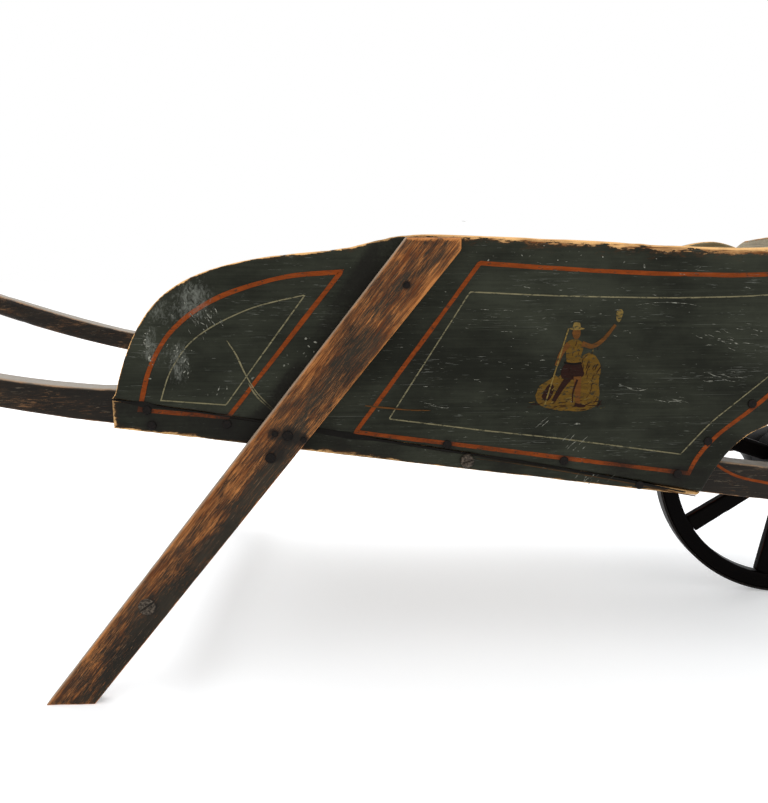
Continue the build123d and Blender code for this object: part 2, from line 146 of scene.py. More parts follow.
def smooth_path(points: Sequence[Sequence[float]], per_span: int = 16) -> np.ndarray:
    """Catmull-Rom curve through points: each span is a cubic with the neighbours' chord slopes.

    Args:
        points: the points, two or more coordinates each.
        per_span: samples between two points.

    Returns:
        Array of samples, the last point included.
    """
    p = np.asarray(points, float)
    ends = np.vstack([2 * p[0] - p[1], p, 2 * p[-1] - p[-2]])
    t = np.linspace(0, 1, per_span, endpoint=False)[None, :, None]
    a, b, c, d = (ends[k:len(ends) - 3 + k, None, :] for k in range(4))
    span = 0.5 * (2 * b + (c - a) * t + (2 * a - 5 * b + 4 * c - d) * t ** 2
                  + (3 * b - a - 3 * c + d) * t ** 3)
    return np.vstack([span.reshape(-1, p.shape[1]), p[-1:]])


def even_path(points: np.ndarray, step: float) -> np.ndarray:
    """Sample a polyline again at equal distances along it.

    Args:
        points: (n, 2) or (n, 3) corners of the polyline.
        step: greatest distance between samples.

    Returns:
        The samples, both ends included.
    """
    lengths = np.concatenate([[0], np.cumsum(np.linalg.norm(np.diff(points, axis=0), axis=1))])
    stations = np.linspace(0, lengths[-1], max(2, int(lengths[-1] / step)) + 1)
    return np.stack([np.interp(stations, lengths, column) for column in points.T], axis=1)


def spread(low: float, high: float, step: float, offsets: np.ndarray) -> np.ndarray:
    """Stations that are close together at both ends and about a step apart between them.

    Args:
        low: first station.
        high: last station.
        step: spacing away from the ends.
        offsets: distances of the first stations from an end, shrunk where the run is short.

    Returns:
        The stations in rising order.
    """
    near = offsets * min(1.0, (high - low) / (3 * offsets[-1]))
    count = max(3, int((high - low - 2 * near[-1]) / step) + 1)
    inner = np.linspace(low + near[-1], high - near[-1], count)
    return np.concatenate([low + near[:-1], inner, (high - near[:-1])[::-1]])


def profile_of(table: Table, share: np.ndarray) -> np.ndarray:
    """Value of a table of (share, value) pairs at each share, joined by straight lines."""
    shares, values = zip(*table)
    return np.interp(share, shares, values)


# ---------------------------------------------------------------- meshes

def grid_faces(rows: int, columns: int, wrap_rows: bool = False, wrap_columns: bool = False,
               start: int = 0) -> np.ndarray:
    """Quads of a grid stored row by row: (i, j), (i+1, j), (i+1, j+1), (i, j+1).

    Args:
        rows: number of rows.
        columns: number of points in a row.
        wrap_rows: join the last row to the first.
        wrap_columns: join the last column to the first.
        start: index of the grid's first point.

    Returns:
        (n, 4) point indices.
    """
    i = np.arange(rows if wrap_rows else rows - 1)[:, None]
    j = np.arange(columns if wrap_columns else columns - 1)[None, :]
    i1, j1 = (i + 1) % rows, (j + 1) % columns
    quads = np.stack(np.broadcast_arrays(i * columns + j, i1 * columns + j, i1 * columns + j1,
                                         i * columns + j1), axis=-1)
    return quads.reshape(-1, 4) + start


def border_loop(rows: int, columns: int) -> np.ndarray:
    """Indices round the border of a grid, in the order of the rows first."""
    grid = np.arange(rows * columns).reshape(rows, columns)
    return np.concatenate([grid[:-1, 0], grid[-1, :-1], grid[:0:-1, -1], grid[0, :0:-1]])


def shell_faces(rows: int, columns: int, band: int) -> np.ndarray:
    """Quads of a front grid, a back grid turned over, and a band that joins their borders.

    Args:
        rows: number of rows of either grid.
        columns: number of points in a row.
        band: rows of points between the two borders, stored after both grids.

    Returns:
        (n, 4) point indices, outward where the front grid is.
    """
    count, loop = rows * columns, border_loop(rows, columns)
    between = 2 * count + np.arange(band * len(loop)).reshape(band, -1)
    ring = np.vstack([loop, between, loop + count])
    after = np.roll(ring, -1, axis=1)
    sides = np.stack([ring[:-1], ring[1:], after[1:], after[:-1]], axis=-1).reshape(-1, 4)
    return np.vstack([grid_faces(rows, columns), grid_faces(rows, columns, start=count)[:, ::-1], sides])


def make_piece(name: str, places: np.ndarray, faces: Sequence[Sequence[int]], body: Body,
               layers: dict[str, np.ndarray]) -> bpy.types.Object:
    """Put whole arrays into a new smooth-shaded piece that rides on a body.

    Args:
        name: name of the piece.
        places: (n, 3) places in metres.
        faces: corner indices of each face, outward by the right hand.
        body: the body it rides on.
        layers: values for each vertex by name: (n,) floats or (n, 3) vectors.

    Returns:
        The new object.
    """
    mesh = bpy.data.meshes.new(name)
    mesh.from_pydata(places, [], faces)
    mesh.polygons.foreach_set("use_smooth", np.full(len(faces), True))
    for layer, values in layers.items():
        kind, key = ("FLOAT_VECTOR", "vector") if values.ndim == 2 else ("FLOAT", "value")
        attribute = mesh.attributes.new(layer, kind, "POINT")
        attribute.data.foreach_set(key, np.ascontiguousarray(values, dtype=np.float32).ravel())
    mesh.update()
    piece = bpy.data.objects.new(name, mesh)
    bpy.context.scene.collection.objects.link(piece)
    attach(piece, body.value)
    LOG.info("%s: %d faces on the %s", name, len(faces), body.value)
    return piece


def weld(piece: bpy.types.Object) -> None:
    """Merge the points that meet at a pole or an end cap into one.

    Args:
        piece: the piece to mend, in place.
    """
    joined = bmesh.new()
    joined.from_mesh(piece.data)
    bmesh.ops.remove_doubles(joined, verts=joined.verts, dist=WELD)
    joined.to_mesh(piece.data)
    joined.free()


def node_arrays(node: str) -> tuple[np.ndarray, np.ndarray]:
    """Read a frame node's mesh.

    Args:
        node: name of the frame node.

    Returns:
        (n, 3) vertices in metres and (m, 2) edges as pairs of vertex indices.
    """
    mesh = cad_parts[node].data
    places = np.empty(len(mesh.vertices) * 3)
    mesh.vertices.foreach_get("co", places)
    edges = np.empty(len(mesh.edges) * 2, int)
    mesh.edges.foreach_get("vertices", edges)
    return places.reshape(-1, 3), edges.reshape(-1, 2)


def envelope(flat: np.ndarray, edges: np.ndarray, stations: np.ndarray) -> tuple[np.ndarray, np.ndarray]:
    """Least and greatest second coordinate of a drawing's edges at each first coordinate.

    Args:
        flat: (n, 2) points of the drawing.
        edges: (m, 2) pairs of point indices.
        stations: first coordinates to look at.

    Returns:
        The lower and the upper outline at the stations.
    """
    a, b = flat[edges[:, 0]], flat[edges[:, 1]]
    run = b[:, 0] - a[:, 0]
    keep = np.abs(run) > 1e-6
    a, b, run = a[keep], b[keep], run[keep]
    share = (stations[:, None] - a[None, :, 0]) / run[None, :]
    height = a[None, :, 1] + share * (b[:, 1] - a[:, 1])[None, :]
    inside = (share >= 0) & (share <= 1)
    return (np.where(inside, height, np.inf).min(axis=1),
            np.where(inside, height, -np.inf).max(axis=1))


@dataclass(frozen=True)
class Axes:
    """A right-handed drawing frame: along, across, and out of the face."""

    along: tuple[float, float, float]
    across: tuple[float, float, float]

    @property
    def matrix(self) -> np.ndarray:
        """Rows are the unit axes along, across and out."""
        along, across = np.asarray(self.along, float), np.asarray(self.across, float)
        return np.array([along, across, np.cross(along, across)])

    def local(self, places: np.ndarray) -> np.ndarray:
        """Millimetre coordinates along the axes of places in metres."""
        return places @ self.matrix.T / MM

    def world(self, local: np.ndarray) -> np.ndarray:
        """Places in metres of millimetre coordinates along the axes."""
        return local @ self.matrix * MM

    @classmethod
    def of_side(cls, side: Side) -> "Axes":
        """Along is forward in the side's plane and across is up."""
        return cls((math.cos(SPLAY), -side.value * math.sin(SPLAY), 0.0), (0.0, 0.0, 1.0))

    @classmethod
    def upright(cls, side: Side) -> "Axes":
        """Along is up and across is rearward in the side's plane."""
        return cls((0.0, 0.0, 1.0), (-math.cos(SPLAY), side.value * math.sin(SPLAY), 0.0))

    @classmethod
    def lateral(cls, rise: float) -> "Axes":
        """Along points left and across points forward, turned up by a rise."""
        return cls((0.0, 1.0, 0.0), (math.cos(rise), 0.0, math.sin(rise)))

    @classmethod
    def of_wheel(cls, angle: float) -> "Axes":
        """Along points from the axle at an angle above forward, and out is to the right."""
        return cls((math.cos(angle), 0.0, math.sin(angle)), (-math.sin(angle), 0.0, math.cos(angle)))


@dataclass
class Plank:
    """A flat wooden piece with worn arrises, its outline taken from a frame node.

    The outline is cut at stations along the piece. At each station the face is a column from the
    lower edge to the upper edge, and near the outline it drops back on a quarter circle of the
    arris radius r: drop(d) = r - sqrt(r^2 - (r - d)^2) at a distance d < r from the outline.
    """

    node: str
    axes: Axes
    slot: Slot
    arris: Table = ((0.0, 1.1), (1.0, 1.1))
    ragged: float = 0.3
    warp: float = 0.14
    step: float = 2.4
    seed: int = 1
    grain: float = 0.0
    wear_lower: Table = ((0.0, 0.5), (1.0, 0.5))
    wear_upper: Table = ((0.0, 0.5), (1.0, 0.5))
    wear_ends: tuple[float, float] = (0.7, 0.7)
    grime: Optional[Field] = None
    tired: Optional[Field] = None
    scuff: Optional[Field] = None
    bare_face: int = 0
    # Strength of the pale coat on the upper edge: dust with a painted highlight for the edge's glancing
    # sheen.
    dust_and_sheen_strength: float = 0.0
    body: Body = Body.FRAME
    span: tuple[float, float] = field(init=False)
    heights: tuple[float, float] = field(init=False)
    piece: bpy.types.Object = field(init=False)

    NEAR = np.array([0.0, 0.1, 0.3, 0.6, 1.0, 1.5, 2.2, 3.2, 4.6, 6.5])
    TINY = 0.002
    BAND = 5
    RIM_REACH = 2.0
    DUST_AND_SHEEN_REACH = 1.1
    BACK_SHIFT = 500

    def __post_init__(self) -> None:
        """Measure the frame node along the local axes."""
        places, self._edges = node_arrays(self.node)
        self._local = self.axes.local(places)
        self.span = (self._local[:, 0].min(), self._local[:, 0].max())
        self.heights = (self._local[:, 2].min(), self._local[:, 2].max())

    def relief(self, along: np.ndarray, across: np.ndarray) -> np.ndarray:
        """Unevenness of the face in millimetres, never above zero: a slow warp and tool marks."""
        slow = value_noise(along, across, 75.0, self.seed) * self.warp
        return slow + value_noise(along, across, 14.0, self.seed + 5) * self.warp * 0.16 - self.warp * 1.16

    def front(self, along: np.ndarray, across: np.ndarray) -> np.ndarray:
        """Height of the out-facing side away from its edges."""
        return self.heights[1] + self.relief(along, across)

    def back(self, along: np.ndarray, across: np.ndarray) -> np.ndarray:
        """Height of the other side away from its edges."""
        return self.heights[0] - self.relief(along + self.BACK_SHIFT, across)

    def outline(self) -> tuple[np.ndarray, np.ndarray, np.ndarray]:
        """Cut the node's outline at stations and chip its edges.

        Returns:
            Stations along the piece, and the lower and the upper edge there.
        """
        along = spread(self.span[0] + self.TINY, self.span[1] - self.TINY, self.step, self.NEAR)
        lower, upper = envelope(self._local[:, :2], self._edges, along)
        chips = [np.maximum(0, value_noise(along, along * 0, 7.0, self.seed + k)
                            + value_noise(along, along * 0, 31.0, self.seed + k + 1) - 0.4) for k in (0, 9)]
        room = np.maximum(0, upper - lower) * 0.1
        return (along, lower + np.minimum(room, chips[0] * self.ragged),
                upper - np.minimum(room, chips[1] * self.ragged))

    def columns(self, lower: np.ndarray, upper: np.ndarray) -> np.ndarray:
        """Spread the grid's columns, which crowd towards both edges of the outline.

        Args:
            lower: lower edge at each station.
            upper: upper edge at each station.

        Returns:
            (stations, columns) across coordinates.
        """
        middle, half = (lower + upper) / 2, np.maximum((upper - lower) / 2, 0.02)
        near = np.minimum(self.NEAR[-1], half * 0.62)[:, None] * (self.NEAR / self.NEAR[-1])
        count = max(3, int(2 * half.max() / self.step))
        inner = np.linspace(-1, 1, count + 2)[None, 1:-1] * (half - near[:, -1])[:, None]
        return middle[:, None] + np.hstack([near - half[:, None], inner, (half[:, None] - near)[:, ::-1]])

    def gaps(self, stations: np.ndarray, across: np.ndarray, lower: np.ndarray,
             upper: np.ndarray) -> np.ndarray:
        """Distances from each grid point to the four edges of the outline, square to each edge.

        Args:
            stations: coordinates along the piece, one for each row.
            across: (rows, columns) coordinates across it.
            lower: lower edge at each station.
            upper: upper edge at each station.

        Returns:
            (4, rows, columns): to the lower edge, the upper edge, the first end and the last end.
        """
        along = np.broadcast_to(stations[:, None], across.shape)
        to_low = (across - lower[:, None]) / np.hypot(1, np.gradient(lower, stations))[:, None]
        to_high = (upper[:, None] - across) / np.hypot(1, np.gradient(upper, stations))[:, None]
        return np.maximum(0, np.stack([to_low, to_high, along - stations[0], stations[-1] - along]))

    def worn(self, gaps: np.ndarray, share: np.ndarray) -> np.ndarray:
        """Width worn bare at each point: the four edges' widths weighted by 1 / (gap + 0.4)^3.

        Args:
            gaps: distances to the four edges.
            share: share of the way along the piece.

        Returns:
            The width in millimetres.
        """
        widths = np.stack([profile_of(self.wear_lower, share), profile_of(self.wear_upper, share),
                           np.full(share.shape, self.wear_ends[0]),
                           np.full(share.shape, self.wear_ends[1])])
        weights = 1 / (gaps + 0.4) ** 3
        return (widths * weights).sum(axis=0) / weights.sum(axis=0)

    def drop(self, along: np.ndarray, across: np.ndarray, share: np.ndarray, distance: np.ndarray,
             wear: np.ndarray) -> np.ndarray:
        """How far the faces fall back near the outline, by the formula of the class.

        Args:
            along: coordinate along the piece.
            across: coordinate across it.
            share: share of the way along the piece.
            distance: distance to the nearest edge.
            wear: width worn bare, which also rounds the arris.

        Returns:
            The drop in millimetres.
        """
        radius = profile_of(self.arris, share)
        radius = radius + np.minimum(radius * 0.4, 0.5) * rough_noise(along, across, 11.0, self.seed + 3)
        thickness = self.heights[1] - self.heights[0]
        radius = np.minimum(radius + 0.16 * wear, thickness * 0.48)
        return radius - np.sqrt(np.maximum(0, radius ** 2 - np.maximum(0, radius - distance) ** 2))

    def build(self) -> bpy.types.Object:
        """Build the piece, keep it, and let it stand for its frame node.

        The surface is the front grid, the back grid turned over, and a band of BAND rows that
        joins their borders: a band point is a share of the way from the front to the back.

        Returns:
            The new piece.
        """
        stations, lower, upper = self.outline()
        across = self.columns(lower, upper)
        along = np.broadcast_to(stations[:, None], across.shape)
        share = (along - stations[0]) / (stations[-1] - stations[0])
        gaps = self.gaps(stations, across, lower, upper)
        distance, wear = gaps.min(axis=0), self.worn(gaps, share)
        drop = self.drop(along, across, share, distance, wear)
        front, back = self.front(along, across) - drop, self.back(along, across) + drop

        loop = border_loop(*across.shape)
        rise = np.linspace(0, 1, self.BAND + 2)[1:-1][:, None]
        rim = front.ravel()[loop] * (1 - rise) + back.ravel()[loop] * rise
        depth = np.minimum(rise, 1 - rise) * (front.ravel() - back.ravel())[loop]
        around = np.broadcast_to(loop, rim.shape).ravel()

        def everywhere(values: np.ndarray) -> np.ndarray:
            """Values of the grid for the front, the back and the band."""
            return np.concatenate([values.ravel(), values.ravel(), values.ravel()[around]])

        flat_along, flat_across = everywhere(along), everywhere(across)
        out = np.concatenate([front.ravel(), back.ravel(), rim.ravel()])
        edge = np.concatenate([distance.ravel(), distance.ravel(),
                               np.minimum(depth, self.RIM_REACH).ravel()])
        # The upper edge gets a pale coat, dust with a painted highlight for its glancing sheen, fading over
        # about a millimetre.
        layers = self.layers(flat_along, flat_across, out, edge, everywhere(wear),
                             self.dust_and_sheen_strength * np.exp(-everywhere(gaps[1]) / self.DUST_AND_SHEEN_REACH))
        places = self.axes.world(np.stack([flat_along, flat_across, out], axis=1))
        self.piece = make_piece(f"{self.node}_wood", places, shell_faces(*across.shape, self.BAND).tolist(),
                                self.body, layers)
        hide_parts(self.node)
        return self.piece

    def layers(self, along: np.ndarray, across: np.ndarray, out: np.ndarray, distance: np.ndarray,
               wear: np.ndarray, dust_and_sheen: np.ndarray) -> dict[str, np.ndarray]:
        """Work out the vertex values that the finishes read.

        Args:
            along: coordinate along the piece.
            across: coordinate across it.
            out: height of the vertex.
            distance: distance to the nearest arris.
            wear: width of the band worn bare at that arris.
            dust_and_sheen: pale coat on the upper edge, from 0 to 1: dust together with a painted highlight
                for the edge's glancing sheen.

        Returns:
            Arrays by layer name: grain coordinates, edge, wear, bare inner side and dirt.
        """
        turn, lean = math.cos(self.grain), math.sin(self.grain)
        shift = self.seed * SEED_SHIFT
        grain = np.stack([along * turn + across * lean + shift, across * turn - along * lean, out], axis=1)
        zero = np.zeros(len(along))
        middle = sum(self.heights) / 2
        inside = np.clip(0.5 + self.bare_face * (out - middle) / 2.0, 0, 1) * abs(self.bare_face)
        return {"grain_mm": grain, "edge_mm": distance, "wear_mm": wear, "inside": inside, "dust_and_sheen": dust_and_sheen,
                "grime": self.grime(along, across) * (1 - inside) if self.grime else zero,
                "tired": self.tired(along, across) if self.tired else zero,
                "scuff": self.scuff(along, across) if self.scuff else zero}


def clean_layers(grain: np.ndarray, edge: np.ndarray, wear: float) -> dict[str, np.ndarray]:
    """Vertex values of a piece with an even wear and no dirt.

    Args:
        grain: grain coordinates, with the vector on the last axis.
        edge: distance to an arris at each point.
        wear: width of the band worn bare at every arris.

    Returns:
        Arrays by layer name, one row or value for each point.
    """
    zero = np.zeros(edge.size)
    return {"grain_mm": grain.reshape(-1, 3), "edge_mm": edge.ravel(), "wear_mm": zero + wear,
            "grime": zero, "tired": zero, "inside": zero, "scuff": zero, "dust_and_sheen": zero}


@dataclass
class Ring:
    """A rounded bar swept round the axle: profile point (r, y) at angle a lies at
    axle + (r cos a, y, r sin a). A part turn is closed at its two ends.
    """

    node: str
    slot: Slot
    inner: float
    outer: float
    half_width: float
    start: float = 0.0
    turn: float = 2 * math.pi
    rounding: float = 1.2
    uneven: float = 0.2
    seed: int = 1
    wear: float = 0.5

    STEP = 2.2
    SECTION_STEP = 0.9

    def section(self) -> tuple[np.ndarray, np.ndarray, np.ndarray]:
        """Round the four corners of the profile by quarter circles and sample it evenly.

        Returns:
            Radius, side offset and distance to a corner of each point.
        """
        r, half_r = self.rounding, (self.outer - self.inner) / 2
        bend = np.linspace(0, math.pi / 2, 5)
        corners = [(1, 1, 0.0), (-1, 1, math.pi / 2), (-1, -1, math.pi), (1, -1, 1.5 * math.pi)]
        points = np.vstack([np.stack([sr * (half_r - r) + r * np.cos(bend + a),
                                      sy * (self.half_width - r) + r * np.sin(bend + a)], axis=1)
                            for sr, sy, a in corners])
        closed = even_path(np.vstack([points, points[:1]]), self.SECTION_STEP)[:-1]
        edge = np.hypot(half_r - np.abs(closed[:, 0]), self.half_width - np.abs(closed[:, 1]))
        return closed[:, 0] + (self.inner + self.outer) / 2, closed[:, 1], edge

    def build(self) -> bpy.types.Object:
        """Build the ring and let it stand for its frame node.

        Returns:
            The new piece.
        """
        whole = self.turn > 2 * math.pi - 0.001
        count = int(self.turn * self.outer / self.STEP)
        angle = self.start + np.linspace(0, self.turn, count, endpoint=not whole)
        shrink = np.ones(len(angle))
        if not whole:
            angle = np.concatenate([angle[:1], angle, angle[-1:]])
            shrink = np.concatenate([[0.0], shrink, [0.0]])
        radial, side, edge = self.section()
        middle = (self.inner + self.outer) / 2
        a, k = angle[:, None], shrink[:, None]
        marks = np.abs(rough_noise(a * self.outer + 0 * radial, side * 3 + radial + 0 * a, 16.0, self.seed))
        r = middle + (radial - middle - marks * self.uneven * np.sign(radial - middle)) * k
        y = side * k + 0 * a
        places = AXLE + np.stack([r * np.cos(a), y, r * np.sin(a)], axis=-1)
        faces = grid_faces(len(angle), len(radial), whole, True)
        grain = np.stack([a * self.outer + 0 * r + self.seed * SEED_SHIFT, r, y], axis=-1)
        piece = make_piece(f"{self.node}_bar", places.reshape(-1, 3) * MM, faces[:, ::-1].tolist(),
                           Body.WHEEL, clean_layers(grain, np.broadcast_to(edge, r.shape), self.wear))
        weld(piece)
        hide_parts(self.node)
        return piece


@dataclass
class Turning:
    """A turned piece on the axle line: its radius at each y is read from its frame node.

    The point at y and angle a lies at axle + (r cos a, y, r sin a), with r(y) the node's outline
    softened over three neighbours and dented by up to UNEVEN of itself.
    """

    node: str
    slot: Slot
    around: int = 96
    seed: int = 1
    wear: float = 0.6

    STEP = 0.5
    INSET = 0.002
    UNEVEN = 0.006

    def build(self) -> bpy.types.Object:
        """Build the turning, closed on the axis at both ends, and let it stand for its node.

        Returns:
            The new piece.
        """
        places, edges = node_arrays(self.node)
        local = places / MM - AXLE
        flat = np.stack([local[:, 1], np.hypot(local[:, 0], local[:, 2])], axis=1)
        y = np.arange(flat[:, 0].min() + self.INSET, flat[:, 0].max() - self.INSET, self.STEP)
        radius = envelope(flat, edges, y)[1]
        rounded = np.minimum(radius, np.convolve(np.pad(radius, 1, "edge"), np.full(3, 1 / 3), "valid"))
        y, radius = np.concatenate([y[:1], y, y[-1:]]), np.concatenate([[0.0], rounded, [0.0]])
        angle = np.linspace(0, 2 * math.pi, self.around, endpoint=False)[:, None]
        dents = np.abs(rough_noise(angle * 30 + 0 * y, y + 0 * angle, 17.0, self.seed))
        wobble = radius * (1 - self.UNEVEN * dents)
        points = AXLE + np.stack([wobble * np.cos(angle), y + 0 * angle, wobble * np.sin(angle)], axis=-1)
        slope = np.abs(np.gradient(radius, np.arange(len(y)) * self.STEP))
        edge = np.broadcast_to(6.0 / (1 + 3 * slope), wobble.shape)
        grain = np.stack([y + 0 * angle + self.seed * SEED_SHIFT, angle * 22 + 0 * y, wobble], axis=-1)
        piece = make_piece(f"{self.node}_turned", points.reshape(-1, 3) * MM,
                           grid_faces(self.around, len(y), True, False)[:, ::-1].tolist(), Body.WHEEL,
                           clean_layers(grain, edge, self.wear))
        weld(piece)
        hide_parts(self.node)
        return piece


@dataclass
class Skin:
    """Thin painted shapes lying just over a plank's face, each a grid between two edge curves."""

    planks: Sequence[Plank]
    lift: float = 0.12
    mirrored: bool = False

    STRIPE_STEP = 1.6
    NO_EDGE = 9.0

    def lay(self, name: str, first: np.ndarray, second: np.ndarray, rows: int = 4) -> bpy.types.Object:
        """Lay one or more shapes between pairs of curves of (side station, height) points.

        Args:
            name: name of the piece.
            first: (n, 2) curve, or (k, n, 2) curves of k shapes.
            second: the opposite curves, of the same size.
            rows: points from one curve to the other.

        Returns:
            The new piece.
        """
        first, second = np.atleast_3d(first), np.atleast_3d(second)
        if first.shape[2] == 1:
            first, second = first.transpose(2, 0, 1), second.transpose(2, 0, 1)
        shapes, points = first.shape[:2]
        share = np.linspace(0, 1, rows)[None, :, None, None]
        flat = first[:, None] * (1 - share) + second[:, None] * share
        along, across = (flat[..., 0] - SIDE_SHIFT).ravel(), flat[..., 1].ravel()
        board = self.planks[0]
        if self.mirrored:
            out = np.minimum.reduce([plank.back(along, across) for plank in self.planks]) - self.lift
        else:
            out = np.maximum.reduce([plank.front(along, across) for plank in self.planks]) + self.lift
        starts = np.arange(shapes)[:, None, None] * rows * points
        faces = (grid_faces(rows, points)[None] + starts).reshape(-1, 4)
        corner = np.stack([along[faces], across[faces]], axis=-1)
        one, two = corner[:, 2] - corner[:, 0], corner[:, 3] - corner[:, 1]
        wrong = (one[:, 0] * two[:, 1] - one[:, 1] * two[:, 0] < 0) != self.mirrored
        faces = np.where(wrong[:, None], faces[:, ::-1], faces)
        zero = np.zeros(len(along))
        layers = board.layers(along, across, zero + board.heights[1], zero + self.NO_EDGE, zero, zero)
        layers["inside"] = zero
        piece = make_piece(name, board.axes.world(np.stack([along, across, out], axis=1)), faces.tolist(),
                           Body.FRAME, layers)
        return piece

    def stripe(self, name: str, path: np.ndarray, width: float, seed: int = 1) -> bpy.types.Object:
        """Lay a brush stripe along a path, open or closed, with its edges a half width to each side.

        Args:
            name: name of the piece.
            path: (n, 2) corners of the path.
            width: width of the brush, which wavers a little along the stripe.
            seed: seed of the wavering.

        Returns:
            The new piece.
        """
        points = even_path(path, self.STRIPE_STEP)
        closed = np.linalg.norm(path[0] - path[-1]) < 0.01
        padded = np.vstack([points[-2], points, points[1]]) if closed else \
            np.vstack([2 * points[0] - points[1], points, 2 * points[-1] - points[-2]])
        before, after = points - padded[:-2], padded[2:] - points
        before = before / np.linalg.norm(before, axis=1)[:, None]
        after = after / np.linalg.norm(after, axis=1)[:, None]
        tangent = before + after
        tangent = tangent / np.linalg.norm(tangent, axis=1)[:, None]
        mitre = np.maximum((tangent * after).sum(axis=1), 0.35)
        normal = np.stack([-tangent[:, 1], tangent[:, 0]], axis=1) / mitre[:, None]
        run = np.arange(len(points)) * self.STRIPE_STEP
        fade = np.clip(np.minimum(run, run[-1] - run) / 12, 0, 1) if closed else 1.0
        wobbles = [rough_noise(run, run * 0, 22.0, seed + k) * 0.22 * fade for k in (0, 7)]
        sides = [points + normal * (sign * width / 2 * (1 + wobble))[:, None]
                 for sign, wobble in zip((1, -1), wobbles)]
        return self.lay(name, sides[0], sides[1])

    def limb(self, name: str, path: Sequence[tuple[float, float]], widths: Table) -> bpy.types.Object:
        """Lay a tapered stroke along a smooth path.

        Args:
            name: name of the piece.
            path: points of the stroke's middle line.
            widths: (share of the way, width) pairs.

        Returns:
            The new piece.
        """
        points = even_path(smooth_path(path), 0.8)
        tangent = np.gradient(points, axis=0)
        tangent = tangent / np.linalg.norm(tangent, axis=1)[:, None]
        normal = np.stack([-tangent[:, 1], tangent[:, 0]], axis=1)
        half = profile_of(widths, np.linspace(0, 1, len(points)))[:, None] / 2
        return self.lay(name, points + normal * half, points - normal * half)

    def blob(self, name: str, outline: Sequence[tuple[float, float]], ragged: float = 0.3,
             seed: int = 1) -> bpy.types.Object:
        """Lay a filled shape inside a smooth closed outline.

        Args:
            name: name of the piece.
            outline: points anticlockwise from the left end.
            ragged: unevenness of the outline.
            seed: seed of the unevenness.

        Returns:
            The new piece.
        """
        ring = even_path(smooth_path([*outline, outline[0]]), 0.6)
        ring = ring + ragged * np.stack([rough_noise(ring[:, 0], ring[:, 1], 3.0, seed + k)
                                         for k in (0, 4)], axis=1)
        ring[-1] = ring[0]
        far = int(np.argmax(ring[:, 0]))
        count = 2 + len(ring) // 2
        halves = [half[np.linspace(0, len(half) - 1, count).round().astype(int)]
                  for half in (ring[:far + 1], ring[far:][::-1])]
        return self.lay(name, halves[0], halves[1], rows=8)

    def strokes(self, name: str, clusters: Sequence[tuple[float, ...]], seed: int = 5) -> bpy.types.Object:
        """Lay clusters of fine tapered scratches as one piece.

        Args:
            name: name of the piece.
            clusters: (s, z, spread s, spread z, count, angle, angle spread, length, width) rows.
            seed: seed of the scatter.

        Returns:
            The new piece.
        """
        random = np.random.default_rng(seed)
        rows = np.repeat(np.array(clusters), [int(row[4]) for row in clusters], axis=0)
        middle = rows[:, :2] + random.normal(0, 0.5, (len(rows), 2)) * rows[:, 2:4]
        angle = np.radians(rows[:, 5] + random.normal(0, 0.6, len(rows)) * rows[:, 6])
        length = rows[:, 7] * random.uniform(0.3, 1.3, len(rows))
        width = rows[:, 8] * random.uniform(0.5, 1.3, len(rows))
        bend = random.normal(0, 0.06, len(rows)) * length
        t = np.linspace(-1, 1, 9)[None, :, None]
        way = np.stack([np.cos(angle), np.sin(angle)], axis=1)[:, None]
        normal = np.stack([-np.sin(angle), np.cos(angle)], axis=1)[:, None]
        line = middle[:, None] + way * t * length[:, None, None] / 2 + normal * bend[:, None, None] * t ** 2
        half = normal * width[:, None, None] / 2 * np.sqrt(np.maximum(0.02, 1 - t ** 2))
        return self.lay(name, line + half, line - half, rows=2)


# ---------------------------------------------------------------- shaders

Input = Union["Num", bpy.types.NodeSocket, float, Colour]
# Pale grey of the upper-edge coat: dust, and a painted highlight standing in for the glancing sheen.
DUST_AND_SHEEN = srgb(138, 128, 114)
DIRT = srgb(19, 17, 14)


class Num:
    """A shader float: a socket whose arithmetic adds Math nodes to its tree."""

    def __init__(self, tree: bpy.types.NodeTree, socket: bpy.types.NodeSocket) -> None:
        """Wrap an output socket."""
        self.tree, self.socket = tree, socket

    def _join(self, operation: str, other: Input, swap: bool = False) -> "Num":
        """Add a Math node that joins this value and another.

        Args:
            operation: the node's operation.
            other: the other value.
            swap: put the other value first.

        Returns:
            The node's result.
        """
        node = self.tree.nodes.new("ShaderNodeMath")
        node.operation = operation
        for slot, value in zip(node.inputs, (other, self) if swap else (self, other)):
            feed(self.tree, slot, value)
        return Num(self.tree, node.outputs[0])

    def __add__(self, other: Input) -> "Num":
        """Sum."""
        return self._join("ADD", other)

    __radd__ = __add__

    def __sub__(self, other: Input) -> "Num":
        """Difference."""
        return self._join("SUBTRACT", other)

    def __rsub__(self, other: Input) -> "Num":
        """Difference the other way."""
        return self._join("SUBTRACT", other, True)

    def __mul__(self, other: Input) -> "Num":
        """Product."""
        return self._join("MULTIPLY", other)

    __rmul__ = __mul__

    def __or__(self, other: Input) -> "Num":
        """The larger of the two."""
        return self._join("MAXIMUM", other)

    def ramp(self, low: Input, high: Input) -> "Num":
        """Smooth step of this value.

        Args:
            low: where the step is still 0.
            high: where it has reached 1.

        Returns:
            The step, from 0 to 1.
        """
        node = self.tree.nodes.new("ShaderNodeMapRange")
        node.interpolation_type = "SMOOTHSTEP"
        for name, value in (("Value", self), ("From Min", low), ("From Max", high)):
            feed(self.tree, node.inputs[name], value)
        return Num(self.tree, node.outputs["Result"])


def feed(tree: bpy.types.NodeTree, slot: bpy.types.NodeSocket, value: Input) -> None:
    """Link a value to an input, or set it there when it is a constant.

    Args:
        tree: the tree that holds the input.
        slot: the input.
        value: a socket, a wrapped socket, a number or a colour.
    """
    if isinstance(value, Num):
        value = value.socket
    if isinstance(value, bpy.types.NodeSocket):
        tree.links.new(value, slot)
    elif isinstance(value, tuple) and slot.type == "RGBA":
        slot.default_value = (*value, 1.0)
    else:
        slot.default_value = value


